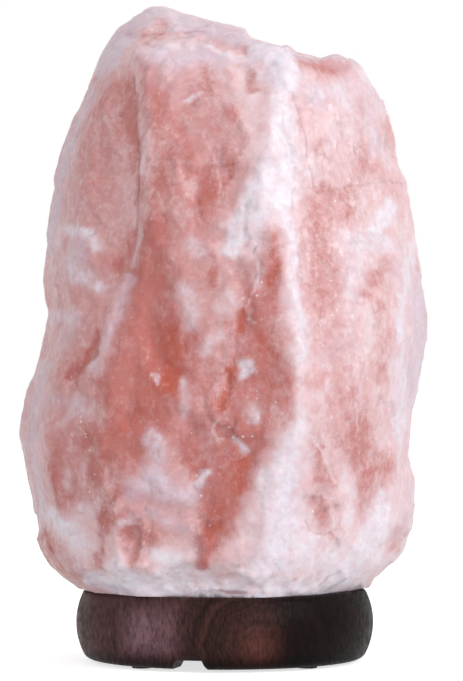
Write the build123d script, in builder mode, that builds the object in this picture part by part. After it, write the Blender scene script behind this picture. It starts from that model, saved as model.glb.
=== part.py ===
from build123d import *
from collections import namedtuple
from math import cos, hypot, radians, sin, sqrt
import os

# Salt crystal lamp: a hand-hewn salt rock on a turned wooden base, lit from inside by a small bulb.
# Millimetres, +Z up. The origin is on the table, under the middle of the base.
# The photographed side faces -Y.

# ---------------------------------------------------------------- driving dimensions
FOOT_PROUD = 1.0            # the pads hold the wood this far off the table
SEAT = 27.0                 # top of the wood, where the rock stands

BASE_RADIUS = 55.0          # turned base at its widest
WIDEST_HEIGHT = 14.5
SIDE_CURVE = 25.0           # radius of the bulging side, seen from the front
BASE_TOP_ROUND = 3.0
BASE_BOTTOM_ROUND = 4.0
HOLE_RADIUS = 22.0          # hole that the lamp fitting is pushed up through
RECESS_RADIUS = 38.0        # hollow under the base, room for the fingers and the cord
RECESS_ROOF = 13.0
NOTCH_AZIMUTH = -104.5      # cord notch in the rim, a little left of the front
NOTCH_MOUTH = 14.4
NOTCH_CEILING = 9.6
NOTCH_HEIGHT = 3.4
NOTCH_BEVEL = 1.2           # bevel of the notch where it comes out of the rim
OVERCUT = 4.0               # a cut that leaves a solid runs this far past it

CAVITY_RADIUS = 23.0        # bore in the rock that the bulb lights from
CAVITY_ROOF = 108.0

FIXING_CIRCLE = 32.0        # three screws hold the rock from below
FIXING_ANGLES = (90, 210, 330)
PLUG_RADIUS = 3.45
PLUG_LENGTH = 30.0
PLUG_CLEARANCE = 0.05
PLUG_SPARE = 2.0            # the holes in the rock are this much deeper than the plugs
PLUG_SLIT = 0.8             # the plugs are slit crosswise, to spread over the screws
SCREW_RADIUS = 1.85
SCREW_LENGTH = 40.0
SCREW_HEAD_RADIUS = 4.0
SCREW_HOLE_RADIUS = 2.25
COUNTERSINK_RADIUS = 4.2
COUNTERSINK_ANGLE = 90
CROSS_LENGTH = 4.4          # cross recess for the screwdriver
CROSS_WIDTH = 0.9
CROSS_DEPTH = 1.4

PAD_CIRCLE = 42.5
PAD_ANGLES = (45, 135, 225, 315)
PAD_RADIUS = 3.7
PAD_POCKET_RADIUS = 3.8
PAD_POCKET_DEPTH = 1.0
PAD_CHAMFER = 0.3

# The lamp fitting: an E14 screw socket in a tube, hung between two spring clips.
SLEEVE_RADIUS = 13.0
SLEEVE_BOTTOM = 24.0
SLEEVE_TOP = 57.0
SLEEVE_LOWER_BORE = 11.4
SLEEVE_UPPER_BORE = 10.4
SLEEVE_MOUTH = 9.0
SLEEVE_LIP = 1.5
SLEEVE_MOUTH_ROUND = 0.6
FLANGE_RADIUS = 15.5
FLANGE_BOTTOM = 36.0
FLANGE_TOP = 38.0
CAP_BOTTOM = 12.0
CAP_SHOULDER = 18.0
CAP_END_RADIUS = 8.0
CAP_WALL = 1.6
CAP_BORE = 10.3
SPIGOT_RADIUS = 11.3
SPIGOT_TOP = 26.0
CORD_HOLE = 4.0             # hole in the cap that the cord bush sits in
CORD_BORE = 3.0             # bore of the bush, for a round 6 mm cord
BUSH_FLANGE = 5.5
BUSH_FLANGE_THICKNESS = 1.0
BUSH_SNAP = 0.6             # lip that holds the bush in the cap
BUSH_SNAP_HEIGHT = 1.4
GRIP_HEIGHT = 18.5          # height of the screw that grips the cord
GRIP_RADIUS = 1.9
GRIP_POINT = 4.5            # the screw's end stays this far from the middle
GRIP_HEAD_RADIUS = 2.8
GRIP_HEAD_THICKNESS = 1.4
SCREW_SLOT = 0.8            # width and depth of a screwdriver slot
CORE_RADIUS = 11.2
CORE_TOP = 31.0
TERMINAL_OFFSET = 7.5       # terminal screws stand this far from the middle
TERMINAL_RADIUS = 1.45
TERMINAL_CLEARANCE = 0.1
TERMINAL_END = 1.5          # the screws stop this far below the top of the core
TERMINAL_HEAD_RADIUS = 2.6
TERMINAL_HEAD_THICKNESS = 1.8
STRIP = 0.4                 # thickness of the contact strips
RIVET_OFFSET = 3.2
RIVET_RADIUS = 0.9
RIVET_HEAD_RADIUS = 1.2
RIVET_HEAD_THICKNESS = 0.5
RIVET_HEAD_TAPER = 20
CONTACT_WIDTH = 4.0
CONTACT_FOOT = 1.4          # the contact's foot ends this far in front of the middle,
CONTACT_BEND = 5.3          # and its spring bend stands this far in front of it
CONTACT_RISE = 1.5
CONTACT_TONGUE = (1.0, 2.0)     # the flat top reaches this far before and behind the middle
CONTACT_ROUND = 0.6
CONTACT_GAP = 0.1           # between the contact and the tip of the bulb
PLATE_SIZE = (4.4, 7.6)     # plate under the core, between the rivet and its terminal
PLATE_OFFSET = 6.0
PLATE_ROUND = 0.8
STRAP_WIDTH = 3.6           # strap from the socket's foot down to its terminal
STRAP_OFFSET = 9.7
STRAP_END = 5.6
STRAP_RISE = 1.0
STRAP_ROUND = 0.3
BRACKET_PLATE = 1.0
BRACKET_REACH = 18.0        # the clips hang this far from the middle
EAR_WIDTH = 10.0
EYE_HEIGHT = 32.0
EYE_RADIUS = 1.5
RING_RADIUS = 16.0
RING_HEIGHT = 5.0
RING_BORE = 13.1
RING_FLUTES = 24
FLUTE_RADIUS = 1.0
FLUTE_DEPTH = 0.6
CLIP_WIRE = 0.6             # radius of the spring wire
CLIP_PLAY = 0.1             # clearance of the wire in its eye
CLIP_WIDTH = 12.8
CLIP_END = 1.0              # the wire's ends stop this far from the middle of the eye
CLIP_BENDS = (1.3, 4, 2, 2, 4, 1.3)
CLIP_BULGE = (20.2, 20.0)   # (reach, height) where the wire presses on the wood
CLIP_FINGER = (16.4, 8.5)   # (reach, height) of the loop that a finger presses

# The screw thread that the socket and the bulb share: a circle that wanders round the axis.
THREAD_PITCH = 2.82
THREAD_OFFSET = 0.40
THREAD_RADIUS = 6.55        # mean outer radius on the bulb
THREAD_BOTTOM = 38.0
THREAD_TOP = 54.0
SHELL_TOP = 53.0
BULB_CAP_WALL = 0.25
SHELL_INNER = 6.70
SHELL_WALL = 0.30
SHELL_TURNS_BELOW = 2       # whole turns of the socket's thread below the bulb's
THREAD_STEP = 0.1           # plain rings stand this much proud of the thread that they join

# The 15 W bulb, 57 mm long over all.
BULB_TOP = 91.2
TIP_BOTTOM = 34.2
TIP_TOP = 35.4
TIP_RADIUS = 2.4
TIP_FLAT = 1.2
INSULATOR_BOTTOM_RADIUS = 3.2
INSULATOR_RADIUS = 5.9
COLLAR_RADIUS = 8.5
COLLAR_BOTTOM = 57.5
COLLAR_TOP = 61.0
COLLAR_WALL = 0.3
GLASS_RADIUS = 14.0
GLASS_NECK = 7.9
GLASS_WALL = 0.6
GLASS_BOTTOM = 58.0
NECK_TOP = 61.5
SHOULDER_PULL = 6.8         # how far the neck and the dome run straight before the shoulder bends
STEM_TOP = 72.0
STEM_RADIUS = 2.6
STEM_FLARE = 6.0            # height of the flare that joins the stem to the neck
STEM_SEAL = (0.4, 1.0)      # width and height of the fused rim
LEAD_RADIUS = 0.3
LEAD_SPACING = 1.6
FILAMENT_REACH = 7.5
FILAMENT_HEIGHT = 80.0
FILAMENT_RADIUS = 0.25
FILAMENT_START = 3.2        # degrees, clear of the end of the lead
SUPPORT_RADIUS = 0.15
SUPPORT_ANGLES = (60, 120)
SUPPORT_GAP = (0.5, 0.3)    # inward and down, clear of the filament
LEAD_BEND = 1.0
LEAD_ROUTES = (
    ((0, 0, TIP_TOP), (0, 0, 42), (LEAD_SPACING, 0, 55), (LEAD_SPACING, 0, STEM_TOP + 1),
     (FILAMENT_REACH, 0, FILAMENT_HEIGHT)),
    ((-5.9, 0, 55.0), (-4.0, 0, 54.2), (-LEAD_SPACING, 0, 56.5), (-LEAD_SPACING, 0, STEM_TOP + 1),
     (-FILAMENT_REACH, 0, FILAMENT_HEIGHT)),
)

# The rock, as level outlines from the seat up. Each says how far it reaches to the left, right,
# front and back, and where the crease and the ridge of its front face stand.
Ring = namedtuple("Ring", "height left right front back crease ridge")
RINGS = (
    Ring(SEAT, -54.0, 53.0, 51, 48, -35, 12),
    Ring(31.5, -60.5, 58.0, 54, 52, -40, 12),
    Ring(36.0, -65.5, 62.5, 57, 55, -43, 12),
    Ring(42.0, -68.5, 67.0, 59, 58, -44, 12),
    Ring(50.0, -70.0, 70.0, 60, 60, -45, 13),
    Ring(58.0, -70.5, 71.0, 61, 61, -46, 14),
    Ring(67.0, -73.0, 70.5, 62, 61, -48, 18),
    Ring(76.0, -74.5, 68.5, 62, 60, -50, 22),
    Ring(84.5, -76.5, 69.0, 63, 58, -50, 25),
    Ring(93.5, -74.5, 70.0, 63, 57, -49, 27),
    Ring(105.0, -71.5, 72.5, 63, 57, -47, 26),
    Ring(119.0, -67.5, 75.0, 62, 59, -43, 25),
    Ring(128.0, -65.5, 75.0, 62, 61, -40, 24),
    Ring(142.0, -67.0, 73.0, 61, 61, -36, 22),
    Ring(155.0, -66.0, 71.0, 60, 59, -33, 18),
    Ring(171.0, -64.5, 68.5, 57, 55, -32, 14),
    Ring(188.0, -61.0, 64.0, 54, 50, -31, 16),
    Ring(201.0, -56.0, 60.0, 51, 47, -31, 19),
    Ring(212.0, -50.5, 54.5, 47, 44, -32, 22),
    Ring(221.0, -47.5, 48.0, 42, 40, -33, 24),
    Ring(225.5, -45.0, 38.0, 37, 36, -32, 22),
    Ring(229.0, -43.0, 21.0, 31, 32, -32, 12),
    Ring(234.0, -39.5, 5.5, 21, 24, -31, -3),
    Ring(238.5, -34.0, -13.0, 11, 14, -29, -18),
    Ring(241.8, -28.0, -22.0, 3, 5, -27, -23.5),
)
SPINE_AT_SEAT = 0.40        # the ridge of the back, as a share of the width from the left,
SPINE_LEAN = 0.20           # leans this much to the right on its way up

# Hollows and swells of the rock's two broad faces. Each is a bell: where its middle stands, how far
# it reaches to each side and up and down, and how far it rises over the face, or sinks if negative.
Bell = namedtuple("Bell", "x height width tall rise")
FRONT_BELLS = (
    Bell(-29, 124, 15, 44, -3.0),       # the long hollow right of the crease
    Bell(-19, 177, 12, 17, 1.6),        # the swell that ends it above
    Bell(-12, 132, 11, 17, 1.8),        # lumps in the middle of the face
    Bell(1, 108, 12, 16, -1.8),
    Bell(-25, 79, 12, 16, 2.0),
    Bell(-20, 50, 13, 14, -1.8),        # scoops over the foot
    Bell(3, 64, 13, 18, -1.8),
    Bell(20, 186, 11, 32, 2.0),         # the crest of the ridge
    Bell(7, 213, 10, 12, -1.8),         # dents under the summit
    Bell(33, 217, 12, 10, -2.2),
    Bell(36, 148, 14, 24, -1.8),        # the right-hand face
    Bell(56, 128, 12, 22, 1.4),
    Bell(35, 57, 11, 12, -1.6),
    Bell(-50, 152, 13, 16, 1.6),        # the left flank
    Bell(-56, 52, 14, 12, 1.6),         # the foot bulges out at both corners
    Bell(51, 46, 15, 13, 1.6),
)
BACK_BELLS = (
    Bell(-30, 198, 22, 28, -2.4),
    Bell(22, 176, 16, 26, -2.0),
    Bell(-47, 130, 16, 22, 1.8),
    Bell(34, 132, 17, 26, -2.0),
    Bell(6, 98, 16, 20, 1.6),
    Bell(-42, 74, 18, 20, -2.2),
    Bell(4, 66, 15, 15, -1.6),
    Bell(16, 46, 14, 12, 1.4),
    Bell(44, 84, 15, 20, -1.6),
)

os.makedirs("parts", exist_ok=True)


def save(piece, name):
    """Name a finished piece and write it to its file."""
    piece.part.label = name
    export_step(piece.part, f"parts/{name}.step")


def polar(radius, angle):
    """Point at this distance and angle from the lamp's axis."""
    return radius * cos(radians(angle)), radius * sin(radians(angle))


def between(start, end, share):
    return start + (end - start) * share


# ---------------------------------------------------------------- the rock
def relief(bells, x, height):
    """How far a broad face stands out at this place, over its plain outline."""
    def share(bell):
        away = hypot((x - bell.x) / bell.width, (height - bell.height) / bell.tall)
        return cos(radians(90) * min(away, 1)) ** 2

    return sum(bell.rise * share(bell) for bell in bells)


def rock_outline(ring):
    """Corners of one level outline: the front face from left to right, then the back."""
    spine = SPINE_AT_SEAT + SPINE_LEAN * (ring.height - SEAT) / (RINGS[-1].height - SEAT)
    front = (
        (ring.left, 0.06),
        (between(ring.left, ring.crease, 0.40), 0.52),
        (ring.crease, 0.74),
        (between(ring.crease, ring.ridge, 0.09), 0.84),
        (between(ring.crease, ring.ridge, 0.30), 0.88),
        (between(ring.crease, ring.ridge, 0.50), 0.91),
        (between(ring.crease, ring.ridge, 0.75), 0.96),
        (ring.ridge, 1.0),
        (between(ring.ridge, ring.right, 0.25), 0.86),
        (between(ring.ridge, ring.right, 0.50), 0.70),
        (between(ring.ridge, ring.right, 0.85), 0.30),
        (ring.right, 0.0),
    )
    back = (
        (0.94, 0.42),
        (between(spine, 0.94, 0.60), 0.84),
        (between(spine, 0.94, 0.30), 0.93),
        (spine, 1.0),
        (between(0.05, spine, 0.70), 0.91),
        (between(0.05, spine, 0.40), 0.80),
        (0.05, 0.40),
    )
    back = [(between(ring.left, ring.right, across), share) for across, share in back]
    return ([(x, -ring.front * share - relief(FRONT_BELLS, x, ring.height)) for x, share in front]
            + [(x, ring.back * share + relief(BACK_BELLS, x, ring.height)) for x, share in back])


with BuildPart() as salt_crystal:
    for ring in RINGS:
        with BuildSketch(Plane.XY.offset(ring.height)):
            with BuildLine():
                Polyline(*rock_outline(ring), close=True)
            make_face()
    loft(ruled=True)
    with BuildSketch(Plane.XY.offset(SEAT)):
        Circle(CAVITY_RADIUS)
    extrude(amount=CAVITY_ROOF - SEAT, mode=Mode.SUBTRACT)
    with BuildSketch(Plane.XY.offset(SEAT)):
        for angle in FIXING_ANGLES:
            with Locations(polar(FIXING_CIRCLE, angle)):
                Circle(PLUG_RADIUS + PLUG_CLEARANCE)
    extrude(amount=PLUG_LENGTH + PLUG_SPARE, mode=Mode.SUBTRACT)
save(salt_crystal, "salt_crystal")


# ---------------------------------------------------------------- the wooden base
def side_radius(height):
    """Radius of the bulging side of the base at this height."""
    rise = height - WIDEST_HEIGHT
    return BASE_RADIUS - SIDE_CURVE + sqrt(SIDE_CURVE ** 2 - rise ** 2)


def notch_outline(grow):
    """The notch as it is seen from outside, from below the wood up."""
    ceiling = FOOT_PROUD + NOTCH_HEIGHT + grow
    return (
        (-NOTCH_MOUTH / 2 - grow, 0),
        (NOTCH_MOUTH / 2 + grow, 0),
        (NOTCH_CEILING / 2 + grow, ceiling),
        (-NOTCH_CEILING / 2 - grow, ceiling),
    )


notch_way = Plane(origin=(0, 0, 0), x_dir=(*polar(1, NOTCH_AZIMUTH + 90), 0),
                  z_dir=(*polar(1, NOTCH_AZIMUTH), 0))
rim = side_radius(FOOT_PROUD + NOTCH_HEIGHT)

with BuildPart() as wooden_base:
    with BuildSketch(Plane.XZ):
        with BuildLine():
            side = ThreePointArc((side_radius(SEAT), SEAT), (BASE_RADIUS, WIDEST_HEIGHT),
                                 (side_radius(FOOT_PROUD), FOOT_PROUD))
            Polyline(side @ 1, (RECESS_RADIUS, FOOT_PROUD), (RECESS_RADIUS, RECESS_ROOF),
                     (HOLE_RADIUS, RECESS_ROOF), (HOLE_RADIUS, SEAT), side @ 0)
        make_face()
    revolve(axis=Axis.Z)
    rims = wooden_base.edges().filter_by(GeomType.CIRCLE)
    fillet(rims.group_by(Axis.Z)[-1].sort_by(SortBy.RADIUS)[-1], BASE_TOP_ROUND)
    rims = wooden_base.edges().filter_by(GeomType.CIRCLE)
    fillet(rims.group_by(Axis.Z)[0].sort_by(SortBy.RADIUS)[-1], BASE_BOTTOM_ROUND)
    with BuildSketch(notch_way.offset(RECESS_RADIUS - OVERCUT)):
        with BuildLine():
            Polyline(*notch_outline(0), close=True)
        make_face()
    extrude(amount=BASE_RADIUS - RECESS_RADIUS + 2 * OVERCUT, mode=Mode.SUBTRACT)
    for reach, grow in ((rim - NOTCH_BEVEL, 0), (rim + OVERCUT, OVERCUT + NOTCH_BEVEL)):
        with BuildSketch(notch_way.offset(reach)):
            with BuildLine():
                Polyline(*notch_outline(grow), close=True)
            make_face()
    loft(mode=Mode.SUBTRACT)
    with Locations(Plane(origin=(0, 0, RECESS_ROOF), x_dir=(1, 0, 0), z_dir=(0, 0, -1))):
        with Locations(*(polar(FIXING_CIRCLE, -angle) for angle in FIXING_ANGLES)):
            CounterSinkHole(SCREW_HOLE_RADIUS, COUNTERSINK_RADIUS,
                            counter_sink_angle=COUNTERSINK_ANGLE)
    with BuildSketch(Plane.XY.offset(FOOT_PROUD)):
        for angle in PAD_ANGLES:
            with Locations(polar(PAD_CIRCLE, angle)):
                Circle(PAD_POCKET_RADIUS)
    extrude(amount=PAD_POCKET_DEPTH, mode=Mode.SUBTRACT)
save(wooden_base, "wooden_base")

for number, angle in enumerate(PAD_ANGLES, 1):
    with BuildPart() as foot_pad:
        with BuildSketch(Plane((*polar(PAD_CIRCLE, angle), 0))):
            Circle(PAD_RADIUS)
        extrude(amount=FOOT_PROUD + PAD_POCKET_DEPTH)
        chamfer(foot_pad.faces().sort_by(Axis.Z)[0].edges(), PAD_CHAMFER)
    save(foot_pad, f"foot_pad_{number}")


# ---------------------------------------------------------------- plugs and screws that hold the rock
head_bottom = RECESS_ROOF + COUNTERSINK_RADIUS - SCREW_HEAD_RADIUS
screw_point = head_bottom + SCREW_LENGTH

for number, angle in enumerate(FIXING_ANGLES, 1):
    place = polar(FIXING_CIRCLE, angle)
    with BuildPart() as screw_plug:
        with BuildSketch(Plane((*place, SEAT))):
            Circle(PLUG_RADIUS)
            Circle(SCREW_RADIUS + PLUG_CLEARANCE, mode=Mode.SUBTRACT)
        extrude(amount=PLUG_LENGTH)
        with BuildSketch(Plane((*place, SEAT + PLUG_LENGTH / 3))):
            Rectangle(2 * PLUG_RADIUS, PLUG_SLIT)
            Rectangle(PLUG_SLIT, 2 * PLUG_RADIUS)
        extrude(amount=PLUG_LENGTH, mode=Mode.SUBTRACT)
    save(screw_plug, f"screw_plug_{number}")

    with BuildPart() as fixing_screw:
        with BuildSketch(Plane((*place, 0), x_dir=(1, 0, 0), z_dir=(0, -1, 0))):
            with BuildLine():
                Polyline((0, head_bottom), (SCREW_HEAD_RADIUS, head_bottom),
                         (SCREW_RADIUS, head_bottom + SCREW_HEAD_RADIUS - SCREW_RADIUS),
                         (SCREW_RADIUS, screw_point - 3 * SCREW_RADIUS), (0, screw_point), close=True)
            make_face()
        revolve(axis=Axis((*place, 0), (0, 0, 1)))
        with BuildSketch(Plane((*place, head_bottom))):
            Rectangle(CROSS_LENGTH, CROSS_WIDTH)
            Rectangle(CROSS_WIDTH, CROSS_LENGTH)
        extrude(amount=CROSS_DEPTH, mode=Mode.SUBTRACT)
    save(fixing_screw, f"fixing_screw_{number}")


# ---------------------------------------------------------------- the body of the lamp fitting
with BuildPart() as holder_sleeve:
    with BuildSketch(Plane.XZ):
        with BuildLine():
            Polyline((SLEEVE_LOWER_BORE, SLEEVE_BOTTOM), (SLEEVE_RADIUS, SLEEVE_BOTTOM),
                     (SLEEVE_RADIUS, FLANGE_BOTTOM), (FLANGE_RADIUS, FLANGE_BOTTOM),
                     (FLANGE_RADIUS, FLANGE_TOP), (SLEEVE_RADIUS, FLANGE_TOP),
                     (SLEEVE_RADIUS, SLEEVE_TOP), (SLEEVE_MOUTH, SLEEVE_TOP),
                     (SLEEVE_MOUTH, SLEEVE_TOP - SLEEVE_LIP),
                     (SLEEVE_UPPER_BORE, SLEEVE_TOP - SLEEVE_LIP), (SLEEVE_UPPER_BORE, CORE_TOP),
                     (SLEEVE_LOWER_BORE, CORE_TOP), close=True)
        make_face()
    revolve(axis=Axis.Z)
    mouth = holder_sleeve.faces().sort_by(Axis.Z)[-1].edges()
    fillet(mouth, SLEEVE_MOUTH_ROUND)
save(holder_sleeve, "holder_sleeve")

cap_end_inner = CAP_END_RADIUS - CAP_WALL
cap_floor = CAP_BOTTOM + CAP_WALL

with BuildPart() as holder_cap:
    with BuildSketch(Plane.XZ):
        with BuildLine():
            TangentArc((SLEEVE_RADIUS, CAP_SHOULDER), (CAP_END_RADIUS, CAP_BOTTOM), tangent=(0, -1))
            Polyline((CAP_END_RADIUS, CAP_BOTTOM), (CORD_HOLE, CAP_BOTTOM), (CORD_HOLE, cap_floor),
                     (cap_end_inner, cap_floor))
            TangentArc((CAP_BORE, CAP_SHOULDER), (cap_end_inner, cap_floor), tangent=(0, -1))
            Polyline((CAP_BORE, CAP_SHOULDER), (CAP_BORE, SPIGOT_TOP), (SPIGOT_RADIUS, SPIGOT_TOP),
                     (SPIGOT_RADIUS, SLEEVE_BOTTOM), (SLEEVE_RADIUS, SLEEVE_BOTTOM),
                     (SLEEVE_RADIUS, CAP_SHOULDER))
        make_face()
    revolve(axis=Axis.Z)
    with BuildSketch(Plane.YZ.offset(SLEEVE_RADIUS + OVERCUT)):
        with Locations((0, GRIP_HEIGHT)):
            Circle(GRIP_RADIUS)
    extrude(amount=-2 * OVERCUT, mode=Mode.SUBTRACT)
save(holder_cap, "holder_cap")

bush_bottom = CAP_BOTTOM - BUSH_FLANGE_THICKNESS
bush_top = cap_floor + BUSH_SNAP_HEIGHT

with BuildPart() as cord_bush:
    with BuildSketch(Plane.XZ):
        with BuildLine():
            Polyline((CORD_BORE, bush_bottom), (BUSH_FLANGE, bush_bottom), (BUSH_FLANGE, CAP_BOTTOM),
                     (CORD_HOLE, CAP_BOTTOM), (CORD_HOLE, cap_floor), (CORD_HOLE + BUSH_SNAP, cap_floor),
                     (CORD_HOLE, bush_top), (CORD_BORE, bush_top), close=True)
        make_face()
    revolve(axis=Axis.Z)
save(cord_bush, "cord_bush")

with BuildPart() as cord_grip_screw:
    with BuildSketch(Plane.YZ.offset(GRIP_POINT)):
        with Locations((0, GRIP_HEIGHT)):
            Circle(GRIP_RADIUS)
    extrude(amount=SLEEVE_RADIUS - GRIP_POINT)
    with BuildSketch(Plane.YZ.offset(SLEEVE_RADIUS)):
        with Locations((0, GRIP_HEIGHT)):
            Circle(GRIP_HEAD_RADIUS)
    extrude(amount=GRIP_HEAD_THICKNESS)
    with BuildSketch(Plane.YZ.offset(SLEEVE_RADIUS + GRIP_HEAD_THICKNESS)):
        with Locations((0, GRIP_HEIGHT)):
            Rectangle(2 * GRIP_HEAD_RADIUS, SCREW_SLOT)
    extrude(amount=-SCREW_SLOT, mode=Mode.SUBTRACT)
save(cord_grip_screw, "cord_grip_screw")


# ---------------------------------------------------------------- contacts and terminals in the fitting
with BuildPart() as holder_core:
    with BuildSketch(Plane.XY.offset(SPIGOT_TOP)):
        Circle(CORE_RADIUS)
        with Locations((0, TERMINAL_OFFSET), (0, -TERMINAL_OFFSET)):
            Circle(TERMINAL_RADIUS, mode=Mode.SUBTRACT)
        with Locations((0, -RIVET_OFFSET)):
            Circle(RIVET_RADIUS, mode=Mode.SUBTRACT)
        with Locations((0, CORE_RADIUS)):
            Rectangle(STRAP_WIDTH + STRIP, 2 * (CORE_RADIUS - STRAP_OFFSET + STRIP), mode=Mode.SUBTRACT)
    extrude(amount=CORE_TOP - SPIGOT_TOP)
save(holder_core, "holder_core")

shell_bottom = THREAD_BOTTOM - SHELL_TURNS_BELOW * THREAD_PITCH
shell_foot = SHELL_INNER + SHELL_WALL + THREAD_OFFSET + THREAD_STEP

with BuildPart() as holder_shell:
    with BuildLine():
        wander = Helix(THREAD_PITCH, SHELL_TOP - shell_bottom, THREAD_OFFSET, center=(0, 0, shell_bottom))
    with BuildSketch(Plane.XY.offset(shell_bottom)):
        with Locations((THREAD_OFFSET, 0)):
            Circle(SHELL_INNER + SHELL_WALL)
            Circle(SHELL_INNER, mode=Mode.SUBTRACT)
    sweep(path=wander, normal=(0, 0, 1))
    with BuildSketch(Plane.XY.offset(CORE_TOP)):
        Circle(shell_foot)
        Circle(SHELL_INNER - THREAD_OFFSET - THREAD_STEP, mode=Mode.SUBTRACT)
    extrude(amount=shell_bottom - CORE_TOP)
save(holder_shell, "holder_shell")

foot_level = CORE_TOP + STRIP / 2
tongue_level = TIP_BOTTOM - CONTACT_GAP - STRIP / 2

with BuildPart() as centre_contact:
    with BuildSketch(Plane.YZ):
        with BuildLine():
            FilletPolyline((-CONTACT_FOOT, foot_level), (-CONTACT_BEND, foot_level),
                           (-CONTACT_BEND, foot_level + CONTACT_RISE), (-CONTACT_TONGUE[0], tongue_level),
                           (CONTACT_TONGUE[1], tongue_level), radius=CONTACT_ROUND)
        trace(line_width=STRIP)
    extrude(amount=CONTACT_WIDTH / 2, both=True)
    with BuildSketch(Plane((0, -RIVET_OFFSET, CORE_TOP))):
        Circle(RIVET_RADIUS)
    extrude(amount=STRIP, mode=Mode.SUBTRACT)
save(centre_contact, "centre_contact")

plate_level = SPIGOT_TOP - STRIP    # underside of what is clamped to the bottom of the core

with BuildPart() as centre_terminal:
    with BuildSketch(Plane.XY.offset(plate_level)):
        with Locations((0, -PLATE_OFFSET)):
            RectangleRounded(*PLATE_SIZE, PLATE_ROUND)
        with Locations((0, -RIVET_OFFSET)):
            Circle(RIVET_RADIUS, mode=Mode.SUBTRACT)
        with Locations((0, -TERMINAL_OFFSET)):
            Circle(TERMINAL_RADIUS + TERMINAL_CLEARANCE, mode=Mode.SUBTRACT)
    extrude(amount=STRIP)
save(centre_terminal, "centre_terminal")

with BuildPart() as contact_rivet:
    with BuildSketch(Plane((0, -RIVET_OFFSET, plate_level))):
        Circle(RIVET_RADIUS)
    extrude(amount=CORE_TOP + STRIP - plate_level)
    for level, height in ((plate_level, -RIVET_HEAD_THICKNESS), (CORE_TOP + STRIP, RIVET_HEAD_THICKNESS)):
        with BuildSketch(Plane((0, -RIVET_OFFSET, level))):
            Circle(RIVET_HEAD_RADIUS)
        extrude(amount=height, taper=RIVET_HEAD_TAPER)
save(contact_rivet, "contact_rivet")

strap_side = shell_foot + STRIP / 2
strap_level = plate_level + STRIP / 2

with BuildPart() as shell_terminal:
    with BuildSketch(Plane.YZ):
        with BuildLine():
            FilletPolyline((strap_side, foot_level + STRAP_RISE), (strap_side, foot_level),
                           (STRAP_OFFSET, foot_level), (STRAP_OFFSET, strap_level),
                           (STRAP_END, strap_level), radius=STRAP_ROUND)
        trace(line_width=STRIP)
    extrude(amount=STRAP_WIDTH / 2, both=True)
    with BuildSketch(Plane((0, TERMINAL_OFFSET, plate_level))):
        Circle(TERMINAL_RADIUS + TERMINAL_CLEARANCE)
    extrude(amount=STRIP, mode=Mode.SUBTRACT)
save(shell_terminal, "shell_terminal")

for number, offset in enumerate((-TERMINAL_OFFSET, TERMINAL_OFFSET), 1):
    with BuildPart() as terminal_screw:
        with BuildSketch(Plane((0, offset, plate_level))):
            Circle(TERMINAL_RADIUS)
        extrude(amount=CORE_TOP - TERMINAL_END - plate_level)
        with BuildSketch(Plane((0, offset, plate_level))):
            Circle(TERMINAL_HEAD_RADIUS)
        extrude(amount=-TERMINAL_HEAD_THICKNESS)
        with BuildSketch(Plane((0, offset, plate_level - TERMINAL_HEAD_THICKNESS))):
            Rectangle(2 * TERMINAL_HEAD_RADIUS, SCREW_SLOT)
        extrude(amount=SCREW_SLOT, mode=Mode.SUBTRACT)
    save(terminal_screw, f"terminal_screw_{number}")


# ---------------------------------------------------------------- bracket, lock ring and spring clips
bracket_top = FLANGE_TOP + BRACKET_PLATE

with BuildPart() as clip_bracket:
    with BuildSketch(Plane.XY.offset(FLANGE_TOP)):
        Circle(RING_RADIUS)
        Rectangle(2 * BRACKET_REACH + BRACKET_PLATE, EAR_WIDTH)
        Circle(RING_BORE, mode=Mode.SUBTRACT)
    extrude(amount=BRACKET_PLATE)
    with BuildSketch(Plane.XY.offset(EYE_HEIGHT)):
        with Locations((BRACKET_REACH, 0), (-BRACKET_REACH, 0)):
            Rectangle(BRACKET_PLATE, EAR_WIDTH)
    extrude(amount=FLANGE_TOP - EYE_HEIGHT)
    with BuildSketch(Plane.XZ.offset(-EAR_WIDTH / 2)):
        with Locations((BRACKET_REACH, EYE_HEIGHT), (-BRACKET_REACH, EYE_HEIGHT)):
            Circle(EYE_RADIUS)
    extrude(amount=EAR_WIDTH)
    with BuildSketch(Plane.XZ.offset(-EAR_WIDTH / 2)):
        with Locations((BRACKET_REACH, EYE_HEIGHT), (-BRACKET_REACH, EYE_HEIGHT)):
            Circle(CLIP_WIRE + CLIP_PLAY)
    extrude(amount=EAR_WIDTH, mode=Mode.SUBTRACT)
save(clip_bracket, "clip_bracket")

with BuildPart() as lock_ring:
    with BuildSketch(Plane.XY.offset(bracket_top)):
        Circle(RING_RADIUS)
        Circle(RING_BORE, mode=Mode.SUBTRACT)
        with PolarLocations(RING_RADIUS + FLUTE_RADIUS - FLUTE_DEPTH, RING_FLUTES):
            Circle(FLUTE_RADIUS, mode=Mode.SUBTRACT)
    extrude(amount=RING_HEIGHT)
save(lock_ring, "lock_ring")

for side_name, side_sign in (("left", -1), ("right", 1)):
    half = CLIP_WIDTH / 2
    eye = side_sign * BRACKET_REACH
    bulge = side_sign * CLIP_BULGE[0]
    finger = side_sign * CLIP_FINGER[0]
    with BuildPart() as spring_clip:
        with BuildLine():
            wire = FilletPolyline(
                (eye, -CLIP_END, EYE_HEIGHT), (eye, -half, EYE_HEIGHT),
                (bulge, -half, CLIP_BULGE[1]), (finger, -half, CLIP_FINGER[1]),
                (finger, half, CLIP_FINGER[1]), (bulge, half, CLIP_BULGE[1]),
                (eye, half, EYE_HEIGHT), (eye, CLIP_END, EYE_HEIGHT), radius=CLIP_BENDS)
        with BuildSketch(Plane(origin=wire @ 0, z_dir=wire % 0)):
            Circle(CLIP_WIRE)
        sweep(path=wire)
    save(spring_clip, f"spring_clip_{side_name}")


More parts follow.
